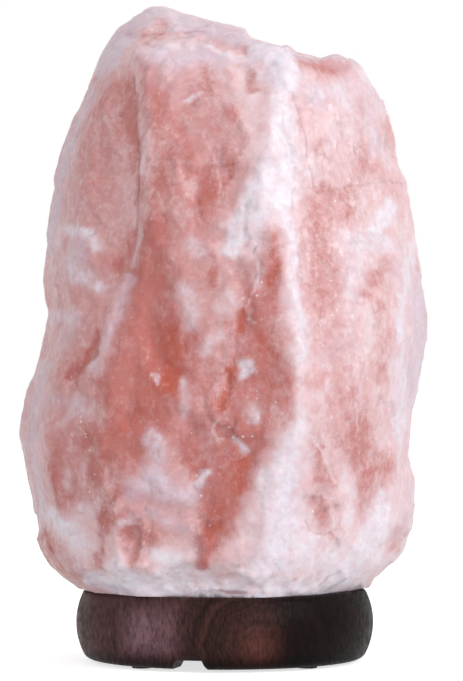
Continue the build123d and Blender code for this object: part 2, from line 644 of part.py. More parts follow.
# ---------------------------------------------------------------- the bulb
with BuildPart() as bulb_tip:
    with BuildSketch(Plane.XZ):
        with BuildLine():
            Polyline((TIP_RADIUS, TIP_TOP), (0, TIP_TOP), (0, TIP_BOTTOM), (TIP_FLAT, TIP_BOTTOM))
            TangentArc((TIP_RADIUS, TIP_TOP), (TIP_FLAT, TIP_BOTTOM), tangent=(0, -1))
        make_face()
    revolve(axis=Axis.Z)
save(bulb_tip, "bulb_tip")

with BuildPart() as bulb_insulator:
    with BuildSketch(Plane.XZ):
        with BuildLine():
            Polyline((LEAD_RADIUS, TIP_TOP), (INSULATOR_BOTTOM_RADIUS, TIP_TOP),
                     (INSULATOR_RADIUS, THREAD_BOTTOM), (LEAD_RADIUS, THREAD_BOTTOM), close=True)
        make_face()
    revolve(axis=Axis.Z)
save(bulb_insulator, "bulb_insulator")

thread_inner = THREAD_RADIUS - BULB_CAP_WALL
collar_inner = COLLAR_RADIUS - COLLAR_WALL
ring_inner = thread_inner - THREAD_OFFSET - THREAD_STEP
ring_outer = THREAD_RADIUS + THREAD_OFFSET + THREAD_STEP

with BuildPart() as bulb_cap:
    with BuildLine():
        wander = Helix(THREAD_PITCH, THREAD_TOP - THREAD_BOTTOM, THREAD_OFFSET, center=(0, 0, THREAD_BOTTOM))
    with BuildSketch(Plane.XY.offset(THREAD_BOTTOM)):
        with Locations((THREAD_OFFSET, 0)):
            Circle(THREAD_RADIUS)
            Circle(thread_inner, mode=Mode.SUBTRACT)
    sweep(path=wander, normal=(0, 0, 1))
    with BuildSketch(Plane.XZ):
        with BuildLine():
            Polyline((ring_inner, THREAD_TOP), (ring_outer, THREAD_TOP), (COLLAR_RADIUS, COLLAR_BOTTOM),
                     (COLLAR_RADIUS, COLLAR_TOP), (collar_inner, COLLAR_TOP), (collar_inner, COLLAR_BOTTOM),
                     (ring_inner, THREAD_TOP + COLLAR_WALL), close=True)
        make_face()
    revolve(axis=Axis.Z)
save(bulb_cap, "bulb_cap")

dome_centre = BULB_TOP - GLASS_RADIUS
dome_inner = GLASS_RADIUS - GLASS_WALL
neck_inner = GLASS_NECK - GLASS_WALL

with BuildPart() as bulb_glass:
    with BuildSketch(Plane.XZ):
        with BuildLine():
            Line((GLASS_NECK, GLASS_BOTTOM), (GLASS_NECK, NECK_TOP))
            Bezier((GLASS_NECK, NECK_TOP), (GLASS_NECK, NECK_TOP + SHOULDER_PULL),
                   (GLASS_RADIUS, dome_centre - SHOULDER_PULL), (GLASS_RADIUS, dome_centre))
            CenterArc((0, dome_centre), GLASS_RADIUS, 0, 90)
            Line((0, BULB_TOP), (0, BULB_TOP - GLASS_WALL))
            CenterArc((0, dome_centre), dome_inner, 0, 90)
            Bezier((dome_inner, dome_centre), (dome_inner, dome_centre - SHOULDER_PULL),
                   (neck_inner, NECK_TOP + SHOULDER_PULL), (neck_inner, NECK_TOP))
            Polyline((neck_inner, NECK_TOP), (neck_inner, GLASS_BOTTOM), (GLASS_NECK, GLASS_BOTTOM))
        make_face()
    revolve(axis=Axis.Z)
save(bulb_glass, "bulb_glass")

with BuildPart() as bulb_stem:
    with BuildSketch(Plane.XZ):
        with BuildLine():
            Polyline((0, GLASS_BOTTOM), (neck_inner, GLASS_BOTTOM),
                     (neck_inner - STEM_SEAL[0], GLASS_BOTTOM + STEM_SEAL[1]),
                     (STEM_RADIUS, GLASS_BOTTOM + STEM_FLARE), (STEM_RADIUS, STEM_TOP), (0, STEM_TOP),
                     close=True)
        make_face()
    revolve(axis=Axis.Z)
    with BuildSketch(Plane.XY.offset(GLASS_BOTTOM)):
        with Locations((LEAD_SPACING, 0), (-LEAD_SPACING, 0)):
            Circle(LEAD_RADIUS)
    extrude(amount=STEM_TOP - GLASS_BOTTOM, mode=Mode.SUBTRACT)
save(bulb_stem, "bulb_stem")

for number, route in enumerate(LEAD_ROUTES, 1):
    with BuildPart() as bulb_lead:
        with BuildLine():
            lead = FilletPolyline(*route, radius=LEAD_BEND)
        with BuildSketch(Plane(origin=lead @ 0, z_dir=lead % 0)):
            Circle(LEAD_RADIUS)
        sweep(path=lead)
    save(bulb_lead, f"bulb_lead_{number}")

with BuildPart() as bulb_filament:
    with BuildLine(Plane.XY.offset(FILAMENT_HEIGHT)):
        glow = CenterArc((0, 0), FILAMENT_REACH, FILAMENT_START, 180 - 2 * FILAMENT_START)
    with BuildSketch(Plane(origin=glow @ 0, z_dir=glow % 0)):
        Circle(FILAMENT_RADIUS)
    sweep(path=glow)
save(bulb_filament, "bulb_filament")

with BuildPart() as bulb_supports:
    for angle in SUPPORT_ANGLES:
        foot = Vector(*polar(STEM_RADIUS / 2, angle), STEM_TOP)
        hook = Vector(*polar(FILAMENT_REACH - SUPPORT_GAP[0], angle), FILAMENT_HEIGHT - SUPPORT_GAP[1])
        with BuildSketch(Plane(origin=foot, z_dir=hook - foot)):
            Circle(SUPPORT_RADIUS)
        extrude(amount=(hook - foot).length)
save(bulb_supports, "bulb_supports")
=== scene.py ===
from math import atan, radians

import bmesh
import bpy
import numpy as np
from mathutils import Matrix, Vector, noise


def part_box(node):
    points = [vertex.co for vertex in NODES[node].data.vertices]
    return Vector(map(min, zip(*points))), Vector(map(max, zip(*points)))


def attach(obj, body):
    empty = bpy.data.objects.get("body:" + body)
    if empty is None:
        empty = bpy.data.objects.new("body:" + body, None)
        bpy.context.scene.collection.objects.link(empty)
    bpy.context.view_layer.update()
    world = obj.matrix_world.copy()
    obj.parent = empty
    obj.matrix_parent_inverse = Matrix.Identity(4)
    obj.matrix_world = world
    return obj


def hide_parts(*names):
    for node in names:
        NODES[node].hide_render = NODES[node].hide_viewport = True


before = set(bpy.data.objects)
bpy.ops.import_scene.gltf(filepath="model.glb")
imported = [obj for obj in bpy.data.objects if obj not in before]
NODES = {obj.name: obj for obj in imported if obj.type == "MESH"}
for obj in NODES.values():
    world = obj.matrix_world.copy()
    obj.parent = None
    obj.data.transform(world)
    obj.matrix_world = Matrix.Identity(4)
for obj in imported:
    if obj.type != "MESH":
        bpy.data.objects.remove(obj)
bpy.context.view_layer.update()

MM = 0.001

# ------------------------------------------------ the photograph's frame
FRAME_WIDTH = 463
FRAME_HEIGHT = 681
PIXEL = 0.37 * MM               # what one pixel covers at the lamp's axis
AXIS_COLUMN = 224.7             # pixel column of the lamp's axis
TABLE_ROW = 660.7               # pixel row of the table at the lamp's axis
CAMERA_DISTANCE = 1.6           # metres from the lamp's axis
CAMERA_HEIGHT = 0.148           # metres above the table
LOOK_X = (FRAME_WIDTH / 2 - AXIS_COLUMN) * PIXEL
LOOK_Z = (TABLE_ROW - FRAME_HEIGHT / 2) * PIXEL
SENSOR = 36.0                   # mm


def make_camera():
    """The camera stands in front of the lamp, a little above its base."""
    data = bpy.data.cameras.new("camera")
    data.sensor_fit = "VERTICAL"
    data.sensor_height = SENSOR
    data.lens = SENSOR * CAMERA_DISTANCE / (FRAME_HEIGHT * PIXEL)
    data.clip_start = 0.05
    camera = bpy.data.objects.new("camera", data)
    camera.location = (LOOK_X, -CAMERA_DISTANCE, CAMERA_HEIGHT)
    tilt = atan((LOOK_Z - CAMERA_HEIGHT) / CAMERA_DISTANCE)
    camera.rotation_euler = (radians(90) + tilt, 0, 0)
    bpy.context.scene.collection.objects.link(camera)
    bpy.context.scene.camera = camera


def seen_at(points):
    """Pixel column and row at which the photograph shows each point of an (n, 3) array."""
    depth = CAMERA_DISTANCE + points[:, 1]
    scale = CAMERA_DISTANCE / PIXEL
    column = FRAME_WIDTH / 2 + scale * (points[:, 0] - LOOK_X) / depth
    drop = (LOOK_Z - CAMERA_HEIGHT) / CAMERA_DISTANCE
    row = FRAME_HEIGHT / 2 - scale * ((points[:, 2] - CAMERA_HEIGHT) / depth - drop)
    return column, row


# ------------------------------------------------ small tools
def smoothstep(low, high, value):
    """0 up to low, 1 from high, and a smooth rise between them."""
    share = np.clip((value - low) / (high - low), 0, 1)
    return share * share * (3 - 2 * share)


def linear(red, green, blue):
    """A colour as a screen shows it, 0 to 255, as linear light."""
    def channel(value):
        share = value / 255
        return share / 12.92 if share <= 0.04045 else ((share + 0.055) / 1.055) ** 2.4
    return (channel(red), channel(green), channel(blue), 1.0)


class Graph:
    """The node tree of a material or of the world, with a short way to add nodes."""

    def __init__(self, owner):
        owner.use_nodes = True
        self.owner = owner
        self.tree = owner.node_tree
        self.tree.nodes.clear()

    def put(self, value, socket):
        """Sets a socket to a value, or links it to another node's output."""
        if isinstance(value, bpy.types.NodeSocket):
            self.tree.links.new(value, socket)
        else:
            socket.default_value = value

    def add(self, kind, inputs=None, **settings):
        """A new node. inputs maps socket names or numbers to values or to other nodes' outputs."""
        node = self.tree.nodes.new("ShaderNode" + kind)
        for key, value in settings.items():
            setattr(node, key, value)
        for key, value in (inputs or {}).items():
            self.put(value, node.inputs[key])
        return node

    def place(self, scale=(1, 1, 1)):
        """Object coordinates in millimetres, stretched."""
        coordinates = self.add("TexCoord").outputs["Object"]
        return self.add("Mapping", {"Vector": coordinates,
                                    "Scale": tuple(s / MM for s in scale)}).outputs[0]

    def noise(self, vector, scale, detail=3.0, roughness=0.55, distortion=0.0):
        """Noise from 0 to 1; scale is in waves per millimetre."""
        return self.add("TexNoise", {"Vector": vector, "Scale": scale, "Detail": detail,
                                     "Roughness": roughness, "Distortion": distortion}).outputs["Fac"]

    def math(self, operation, first, second=0.0):
        return self.add("Math", {0: first, 1: second}, operation=operation).outputs[0]

    def times(self, value, *factors):
        """The product of all of them."""
        for factor in factors:
            value = self.math("MULTIPLY", value, factor)
        return value

    def fit(self, value, low, high, to_low=0.0, to_high=1.0):
        """A value between low and high, spread smoothly over to_low to to_high."""
        return self.add("MapRange", {"Value": value, "From Min": low, "From Max": high, "To Min": to_low,
                                     "To Max": to_high}, interpolation_type="SMOOTHSTEP").outputs[0]

    def mix(self, share, first, second, blend="MIX"):
        node = self.add("Mix", data_type="RGBA", blend_type=blend)
        for socket, value in zip((0, 6, 7), (share, first, second)):
            self.put(value, node.inputs[socket])
        return node.outputs[2]

    def attribute(self, name):
        return self.add("Attribute", attribute_name=name).outputs["Fac"]

    def bump(self, height, strength, distance):
        return self.add("Bump", {"Height": height, "Strength": strength, "Distance": distance}).outputs[0]

    def shown(self):
        """1 for rays from the camera, also by way of a mirror or glass, and 0 for light."""
        path = self.add("LightPath").outputs
        direct = self.math("MAXIMUM", path["Is Camera Ray"], path["Is Glossy Ray"])
        return self.math("MAXIMUM", direct, path["Is Transmission Ray"])

    def finish(self, surface, kind="OutputMaterial"):
        self.put(surface, self.add(kind).inputs["Surface"])
        return self.owner

    def principled(self, inputs, **settings):
        """Ends the tree in a Principled shader, and returns the finished material."""
        return self.finish(self.add("BsdfPrincipled", inputs, **settings).outputs[0])


def new_graph(name):
    return Graph(bpy.data.materials.new(name))


def dress(material, *names):
    """Gives CAD nodes a material in place of the plain one that they came with."""
    for name in names:
        NODES[name].data.materials.clear()
        NODES[name].data.materials.append(material)


# ------------------------------------------------ the rock's marks, by the photograph
# Each stroke is (strength, points), and each point (column, row, half width) in pixels.

# the rose of most of the salt
ROSE = (
    (0.90, ((112, 92, 26), (98, 170, 34), (96, 240, 36), (84, 330, 36), (66, 410, 36), (66, 490, 28))),
    (0.90, ((196, 104, 36), (200, 180, 42), (182, 270, 48), (176, 360, 52), (170, 440, 48), (150, 520, 30))),
    (0.80, ((262, 236, 26), (258, 300, 36), (262, 370, 38), (244, 440, 38), (214, 510, 26))),
    (0.60, ((322, 204, 26), (322, 262, 24), (330, 330, 24), (346, 420, 34), (372, 478, 26))),
    # partly the salt's colour and partly painted shade, where the lower left edge turns under
    (0.80, ((50, 548, 12), (66, 572, 12), (90, 590, 10))),
    (0.70, ((146, 66, 12), (150, 84, 18), (160, 100, 22))),
    (0.15, ((330, 120, 26), (340, 170, 30), (370, 180, 24))),
    (0.30, ((300, 500, 16), (262, 540, 20), (224, 560, 16))),
    (0.35, ((384, 128, 12), (366, 160, 18), (392, 190, 12), (384, 280, 20))),
    (0.50, ((130, 32, 7), (156, 31, 12), (196, 33, 7), (230, 42, 9), (243, 50, 6))),
    (0.80, ((298, 60, 7), (322, 64, 13), (342, 68, 9))),
    (0.60, ((122, 436, 9), (128, 478, 8), (126, 518, 7), (130, 552, 7))),
)
# frosted veins and patches
WHITE = (
    # the main vein down the ridge, with its two branches
    (0.80, ((268, 52, 10), (282, 60, 12), (287, 74, 9))),
    (0.90, ((285, 66, 10), (284, 96, 12), (281, 118, 16), (282, 142, 21), (282, 166, 21), (274, 192, 21))),
    (1.00, ((270, 190, 18), (258, 206, 19), (249, 220, 18), (240, 234, 14), (230, 247, 10))),
    (0.80, ((284, 196, 10), (289, 216, 7), (293, 236, 8), (294, 262, 8), (294, 288, 8), (296, 306, 8),
            (300, 334, 9), (302, 356, 8))),
    (0.55, ((300, 362, 7), (300, 392, 6), (303, 420, 9))),
    # the broad pale zone below it
    (0.75, ((304, 428, 10), (290, 450, 16), (280, 480, 22), (282, 514, 24), (284, 548, 22), (262, 578, 20))),
    (0.30, ((268, 486, 12), (254, 512, 12), (240, 540, 12), (228, 568, 12))),
    (0.60, ((312, 560, 20), (330, 582, 14), (296, 588, 14))),
    # frost round the foot
    (0.95, ((386, 498, 9), (378, 528, 14), (364, 552, 19), (346, 568, 15))),
    (0.90, ((116, 562, 9), (122, 580, 10), (160, 588, 9))),
    (0.95, ((158, 556, 9), (170, 566, 14), (184, 580, 10))),
    (0.55, ((206, 582, 8), (222, 588, 9), (240, 590, 7))),
    (0.90, ((92, 578, 7), (150, 590, 9), (250, 595, 8), (320, 591, 8), (356, 585, 7))),
    (0.85, ((52, 514, 8), (66, 528, 13), (78, 542, 11))),
    (0.55, ((84, 508, 6), (94, 512, 5))),
    # patches on the left flank
    (0.75, ((68, 228, 6), (76, 232, 7))),
    (0.70, ((90, 234, 6), (96, 244, 7))),
    (0.55, ((74, 258, 7), (76, 276, 9), (86, 280, 7))),
    (0.50, ((100, 284, 6), (104, 290, 5))),
    (0.45, ((54, 318, 7), (78, 318, 7))),
    (0.20, ((124, 278, 5), (112, 322, 6), (102, 350, 7), (92, 370, 7))),
    (0.50, ((141, 226, 3), (137, 244, 4), (132, 262, 3))),
    (0.40, ((108, 80, 5), (104, 86, 3))),
    (0.40, ((60, 424, 6), (74, 404, 8), (88, 412, 7))),
    (0.45, ((66, 472, 5), (68, 486, 6))),
    # blobs in the middle
    (0.45, ((250, 234, 9), (254, 262, 8), (257, 286, 6))),
    (0.55, ((190, 244, 8), (200, 252, 8))),
    (0.60, ((184, 288, 8), (188, 304, 10), (190, 324, 8))),
    (0.50, ((230, 298, 9), (220, 310, 8))),
    (0.55, ((214, 338, 8), (206, 352, 8))),
    (0.90, ((240, 362, 5), (248, 367, 6), (242, 374, 4))),
    (0.55, ((183, 380, 5), (186, 398, 6), (183, 416, 5))),
    (0.55, ((156, 370, 2), (159, 381, 2.4))),
    (0.32, ((152, 436, 9), (157, 450, 12), (152, 472, 9))),
    (0.32, ((136, 488, 9), (160, 487, 11), (184, 494, 10), (190, 506, 6))),
    (0.60, ((252, 410, 7), (256, 420, 6))),
    (0.65, ((236, 440, 5), (242, 450, 5))),
    (0.85, ((206, 474, 4), (200, 486, 4))),
    (0.55, ((120, 526, 5), (136, 516, 4))),
    (0.70, ((187, 97, 3), (198, 95, 3))),
    # the right-hand side
    (0.85, ((390, 206, 8), (384, 222, 9), (374, 232, 9), (386, 244, 9))),
    (0.55, ((346, 238, 10), (366, 250, 12), (350, 292, 6))),
    (0.62, ((410, 246, 6), (408, 268, 6), (405, 292, 5), (401, 324, 5), (402, 360, 6), (403, 400, 6),
            (400, 440, 5))),
    (0.28, ((302, 86, 10), (320, 92, 12), (352, 84, 10), (368, 92, 10), (380, 112, 8))),
    (0.50, ((341, 102, 6), (346, 110, 5))),
    (0.50, ((372, 134, 4), (374, 156, 4))),
    (0.45, ((322, 360, 7), (326, 370, 6))),
    (0.40, ((318, 396, 8), (330, 384, 6))),
    (0.60, ((346, 478, 7), (350, 496, 8), (346, 520, 7))),
    # the rims under the summit
    (0.35, ((154, 50, 5), (186, 44, 5), (210, 46, 5), (220, 54, 5))),
    (0.65, ((214, 47, 2.5), (228, 56, 3), (236, 61, 3), (244, 56, 3), (252, 48, 4), (262, 44, 6))),
    (0.40, ((176, 22, 6), (180, 28, 5))),
)
# clear salt of a deep salmon
DEEP = (
    # the upper face, left of the ridge
    (0.35, ((126, 84, 8), (106, 94, 9), (100, 112, 12), (110, 124, 14))),
    (0.25, ((122, 92, 8), (126, 118, 9), (124, 138, 9))),
    (0.60, ((130, 84, 5), (132, 120, 6), (136, 160, 5), (137, 200, 4))),
    (0.30, ((90, 148, 12), (98, 172, 14), (96, 208, 10))),
    (0.35, ((162, 102, 7), (162, 118, 8), (158, 134, 6))),
    (0.50, ((182, 130, 9), (186, 150, 10), (190, 168, 7))),
    (0.55, ((202, 74, 8), (206, 88, 7))),
    (0.50, ((228, 108, 9), (234, 126, 9), (240, 142, 8))),
    (0.25, ((212, 124, 9), (220, 146, 10))),
    (0.60, ((251, 72, 6), (254, 90, 6))),
    (0.75, ((202, 172, 12), (204, 194, 16), (200, 212, 12))),
    (0.50, ((228, 160, 9), (246, 168, 10), (240, 186, 8), (232, 200, 7))),
    (0.60, ((162, 184, 9), (160, 208, 12), (154, 232, 14))),
    (0.60, ((116, 262, 8), (120, 274, 6))),
    # broad zones: the great hollow left of the middle, and what lies round it
    (0.95, ((152, 240, 18), (152, 296, 26), (158, 350, 34), (150, 400, 36), (136, 440, 28))),
    (0.70, ((140, 250, 14), (134, 300, 16), (130, 350, 20), (128, 400, 22))),
    (0.62, ((248, 330, 20), (258, 380, 30), (246, 430, 28), (226, 480, 22), (212, 530, 16))),
    (0.42, ((112, 440, 20), (98, 476, 20), (110, 516, 16))),
    (0.50, ((156, 76, 12), (160, 110, 15), (162, 150, 14), (160, 190, 14))),
    (0.38, ((60, 440, 10), (54, 480, 10), (60, 510, 10))),
    (0.95, ((164, 316, 12), (172, 344, 15), (176, 370, 13), (162, 396, 14))),
    # smaller patches in the middle
    (0.70, ((212, 256, 5), (214, 282, 5))),
    (0.70, ((274, 240, 7), (275, 258, 9), (271, 284, 9), (268, 312, 9))),
    (0.65, ((256, 262, 7), (252, 292, 8), (256, 314, 7))),
    (0.45, ((248, 328, 8), (264, 340, 11), (276, 358, 11))),
    (0.50, ((262, 380, 16), (282, 386, 14), (284, 412, 12), (264, 430, 12))),
    (0.40, ((208, 368, 6), (206, 396, 8), (212, 420, 7))),
    # the lower left
    (0.75, ((104, 378, 9), (112, 388, 7))),
    (0.80, ((86, 442, 8), (106, 438, 12), (124, 424, 14), (112, 454, 8))),
    (0.45, ((56, 450, 5), (52, 476, 6), (58, 500, 6), (72, 498, 4))),
    (0.65, ((92, 460, 4), (95, 484, 4))),
    (0.60, ((112, 496, 5), (122, 490, 5), (144, 503, 4), (156, 505, 3))),
    (0.75, ((102, 514, 5), (102, 540, 4.5), (98, 566, 4))),
    (0.50, ((130, 534, 7), (144, 540, 6), (132, 562, 3))),
    # partly the salt's colour and partly painted shade, where the lower left edge turns under
    (0.55, ((46, 536, 6), (58, 560, 9), (80, 578, 9))),
    (0.50, ((112, 520, 10), (132, 530, 14), (150, 540, 14), (136, 560, 8))),
    (0.40, ((30, 420, 6), (28, 450, 7), (34, 480, 6))),
    # the drip from the middle down to the foot
    (0.85, ((190, 450, 10), (195, 468, 9))),
    (0.70, ((226, 438, 10), (220, 460, 11), (208, 474, 8))),
    (1.00, ((242, 448, 17), (240, 474, 18), (230, 498, 14))),
    (1.00, ((214, 500, 13), (213, 522, 14), (208, 544, 11), (203, 562, 7))),
    # right of the ridge
    (0.32, ((310, 210, 12), (318, 244, 17), (322, 276, 16), (319, 306, 9))),
    (0.45, ((330, 190, 9), (352, 194, 9), (346, 214, 8))),
    (0.50, ((316, 150, 8), (326, 158, 6))),
    (0.45, ((360, 98, 5), (362, 116, 6))),
    (0.35, ((386, 122, 6), (388, 142, 6))),
    (0.50, ((362, 150, 7), (366, 170, 7))),
    (0.15, ((336, 128, 9), (344, 150, 9))),
    (0.55, ((370, 276, 8), (384, 268, 7), (366, 292, 6))),
    (0.45, ((378, 306, 8), (384, 340, 8), (382, 380, 8))),
    (0.45, ((352, 396, 10), (360, 430, 12), (340, 440, 8))),
    (0.50, ((356, 446, 14), (374, 470, 14), (386, 462, 9))),
    (0.50, ((366, 490, 11), (366, 524, 9))),
    (0.55, ((320, 450, 6), (326, 478, 9))),
    (0.60, ((322, 506, 15), (324, 524, 14))),
    (0.60, ((398, 530, 7), (394, 550, 5))),
    # crevices and edges, and the foot of the great hollow
    (0.90, ((96, 336, 4), (92, 352, 6), (78, 366, 7), (72, 376, 5))),
    (0.45, ((302, 62, 6), (320, 65, 9), (338, 68, 6))),
    (0.45, ((146, 384, 22), (168, 396, 18))),
    (0.50, ((112, 400, 14), (132, 416, 14))),
    # partly the salt's colour and partly painted shade, where the lower left edge turns under
    (0.30, ((36, 520, 6), (44, 548, 7), (62, 572, 7), (84, 590, 6))),
    (0.40, ((196, 428, 10), (186, 440, 8))),
    (0.50, ((298, 100, 2.5), (302, 132, 3.5))),
    (0.55, ((242, 44, 4), (246, 52, 4))),
    (0.50, ((148, 32, 6), (162, 34, 6), (166, 22, 4))),
    (0.50, ((272, 566, 4), (280, 574, 5), (288, 582, 3))),
    (0.70, ((226, 594, 3), (242, 595, 4))),
)
# the deepest spots of the clear salt
ORANGE = (
    (0.75, ((239, 312, 5), (241, 330, 6))),
    (0.90, ((229, 370, 8), (227, 386, 8), (224, 404, 8))),
    (0.55, ((276, 258, 6), (270, 284, 5))),
    (0.45, ((262, 338, 9), (272, 352, 8))),
    (0.75, ((172, 330, 9), (176, 358, 10), (168, 386, 9))),
    (0.75, ((240, 460, 11), (236, 486, 10))),
    (0.60, ((216, 508, 8), (212, 532, 8))),
    (0.55, ((192, 458, 5), (195, 466, 4))),
    (0.45, ((92, 348, 5), (84, 360, 5))),
    (0.45, ((232, 166, 7), (206, 200, 9))),
    (0.30, ((374, 470, 9), (382, 468, 7))),
    (0.35, ((148, 412, 12), (112, 436, 9))),
    (0.30, ((154, 334, 14), (152, 362, 18), (148, 394, 16))),
)
# cool, thin frost
LILAC = (
    (0.85, ((158, 12, 10), (136, 22, 8), (118, 42, 9), (106, 62, 8), (100, 74, 5))),
    (0.75, ((178, 26, 8), (200, 26, 5), (226, 32, 6), (250, 38, 5), (270, 44, 5))),
    (0.75, ((150, 54, 10), (168, 60, 12), (200, 54, 10), (220, 60, 8))),
    (0.20, ((150, 74, 8), (172, 82, 10))),
    (0.70, ((180, 20, 10), (212, 30, 10), (240, 38, 8), (262, 46, 8), (280, 50, 8))),
    (0.60, ((300, 54, 5), (330, 56, 5), (350, 62, 6))),
    (0.20, ((154, 84, 8), (180, 92, 10))),
    (0.60, ((252, 58, 8), (268, 66, 8), (270, 80, 6))),
    (0.75, ((93, 92, 4), (80, 118, 5), (68, 150, 6), (60, 180, 6), (54, 214, 5), (50, 250, 4))),
    (0.55, ((82, 240, 14), (76, 272, 14), (98, 286, 10))),
    (0.50, ((52, 318, 8), (74, 318, 12), (58, 342, 8))),
    (0.60, ((128, 276, 6), (110, 330, 7), (94, 370, 8))),
    (0.60, ((44, 366, 7), (36, 398, 8), (32, 430, 8), (36, 480, 8), (44, 520, 8))),
    (0.50, ((418, 262, 7), (424, 320, 8), (420, 400, 8), (410, 460, 8))),
    (0.50, ((56, 400, 8), (82, 406, 10))),
    (0.95, ((420, 288, 6), (424, 312, 8), (424, 338, 8), (420, 370, 7), (414, 400, 5))),
    (0.65, ((290, 470, 18), (286, 520, 22), (270, 560, 24))),
    (0.60, ((100, 584, 10), (160, 592, 10), (230, 596, 8))),
    (0.55, ((412, 486, 7), (412, 510, 7), (400, 540, 7))),
    (0.70, ((134, 492, 12), (160, 490, 14), (186, 496, 12))),
    (0.60, ((152, 434, 10), (158, 448, 14), (152, 474, 12))),
    (0.55, ((148, 514, 9), (166, 522, 12), (184, 530, 9))),
    (0.50, ((378, 70, 5), (372, 90, 8), (384, 106, 6))),
    (0.50, ((404, 150, 5), (412, 200, 5), (416, 236, 5))),
    (0.40, ((350, 244, 12), (352, 330, 14), (330, 360, 12))),
    # partly the salt's colour and partly painted shade, where the lower left edge turns under
    (0.45, ((62, 556, 9), (84, 572, 8))),
    (0.55, ((286, 58, 12), (300, 84, 14), (318, 98, 14))),
    (0.45, ((350, 84, 16), (366, 112, 14), (382, 150, 10))),
    (0.50, ((398, 250, 9), (404, 320, 12), (400, 400, 10), (396, 440, 8))),
)
# thin lines: pale healed cracks, and open ones that are cut in and dark, partly their own colour and partly
# painted shade
PALE_LINES = (
    (0.60, ((106, 114, 1.2), (109, 124, 1.6), (114, 138, 1.2))),
    (0.45, ((79, 160, 1.2), (96, 157, 1.4), (104, 160, 1.4), (110, 172, 1.2))),
    (0.60, ((202, 131, 1.3), (210, 150, 1.3), (217, 172, 1.4), (222, 196, 1.3))),
    (0.40, ((170, 150, 1.2), (178, 162, 1.3), (196, 164, 1.2), (240, 160, 1.4))),
    (0.35, ((176, 160, 1.0), (186, 136, 1.3), (192, 122, 1.0))),
    (0.75, ((150, 132, 2.6), (147, 148, 2.6), (143, 174, 1.6))),
    (0.50, ((158, 192, 1.8), (164, 210, 1.8))),
    (0.95, ((308, 160, 1.8), (311, 174, 2.8))),
    (0.85, ((313, 437, 1.8), (322, 452, 1.4), (336, 484, 1.4))),
    (0.70, ((257, 262, 1.6), (259, 274, 1.8), (254, 292, 1.4), (246, 306, 1.6), (247, 320, 1.8),
            (254, 322, 1.4))),
    (0.70, ((219, 418, 1.4), (212, 430, 1.6), (216, 440, 1.8), (224, 440, 1.4))),
    (0.60, ((310, 494, 1.6), (334, 498, 1.8), (340, 514, 1.8))),
    (0.80, ((330, 510, 2.2), (333, 522, 2.2))),
    (0.80, ((318, 538, 1.8), (326, 539, 2.4))),
    (0.55, ((124, 527, 1.6), (136, 524, 1.6), (150, 532, 1.4))),
    (0.50, ((84, 374, 1.4), (70, 384, 1.6), (66, 398, 1.4))),
)
DARK_LINES = (
    (0.75, ((133, 76, 1.6), (135, 98, 1.8), (135, 126, 1.8), (139, 148, 2.0), (139, 172, 1.8),
            (138, 198, 1.6), (136, 220, 1.4), (134, 236, 1.2))),
    (0.60, ((293, 94, 1.2), (300, 112, 1.4), (306, 134, 1.3), (307, 160, 1.2), (319, 194, 1.3))),
    (0.50, ((338, 188, 1.6), (352, 186, 1.8), (366, 184, 1.5), (383, 181, 1.8), (402, 183, 1.4))),
    (0.50, ((97, 336, 1.4), (95, 352, 2.0), (86, 364, 2.0), (76, 374, 1.4))),
    (0.60, ((184, 34, 1.3), (196, 31, 1.3), (206, 32, 1.2))),
    (0.50, ((124, 34, 1.6), (128, 30, 2.0))),
    (0.60, ((306, 520, 1.6), (311, 532, 1.4), (322, 535, 1.4), (336, 530, 1.6), (341, 518, 1.4))),
    (0.70, ((231, 384, 1.6), (228, 396, 1.4), (220, 406, 1.4))),
    (0.70, ((158, 450, 1.8), (160, 459, 1.4))),
    (0.60, ((238, 316, 1.2), (244, 314, 1.6), (246, 322, 1.2))),
    (0.50, ((80, 514, 1.4), (92, 516, 1.4), (100, 512, 1.2))),
    (0.50, ((126, 532, 1.4), (146, 534, 1.4), (150, 540, 1.2))),
    (0.55, ((130, 394, 1.4), (128, 416, 1.5), (132, 438, 1.3))),
    (0.80, ((220, 590, 1.6), (232, 594, 2.2), (244, 593, 1.8))),
    (0.50, ((274, 560, 1.2), (280, 570, 1.4), (286, 580, 1.2))),
    (0.50, ((241, 354, 1.4), (248, 352, 1.8), (253, 356, 1.3))),
    (0.50, ((180, 312, 1.3), (196, 334, 1.4), (204, 330, 1.2))),
)
# where the surface is hollow, or stands proud
HOLLOW = (
    (0.70, ((128, 33, 5), (146, 34, 7), (164, 30, 6))),
    (0.70, ((184, 36, 4), (196, 31, 4), (208, 34, 4))),
    (0.70, ((222, 42, 6), (234, 50, 6), (243, 52, 4))),
    (0.80, ((300, 56, 5), (304, 70, 4), (304, 82, 3))),
    (0.70, ((84, 514, 4), (100, 508, 4), (112, 496, 4), (124, 490, 4))),
    (0.60, ((128, 534, 5), (142, 542, 5), (132, 562, 4))),
    (0.50, ((162, 506, 5), (176, 510, 5))),
    (1.00, ((146, 230, 14), (140, 280, 22), (142, 340, 26), (140, 400, 24), (120, 432, 14))),
    (0.70, ((300, 62, 4), (322, 65, 9), (338, 66, 5))),
    (0.60, ((236, 62, 4), (250, 74, 7), (254, 90, 6))),
    (0.50, ((97, 338, 4), (88, 356, 6), (76, 370, 6))),
    (0.70, ((240, 316, 5), (242, 332, 6))),
    (0.60, ((226, 376, 4), (224, 396, 5))),
    (0.50, ((240, 460, 12), (214, 510, 12), (208, 540, 10))),
    (0.50, ((320, 230, 12), (324, 300, 12))),
    (0.50, ((322, 504, 13), (324, 522, 12))),
    (0.50, ((412, 436, 5), (410, 444, 5))),
    (0.40, ((276, 240, 7), (274, 300, 8))),
    (0.50, ((102, 514, 4), (100, 560, 4))),
)
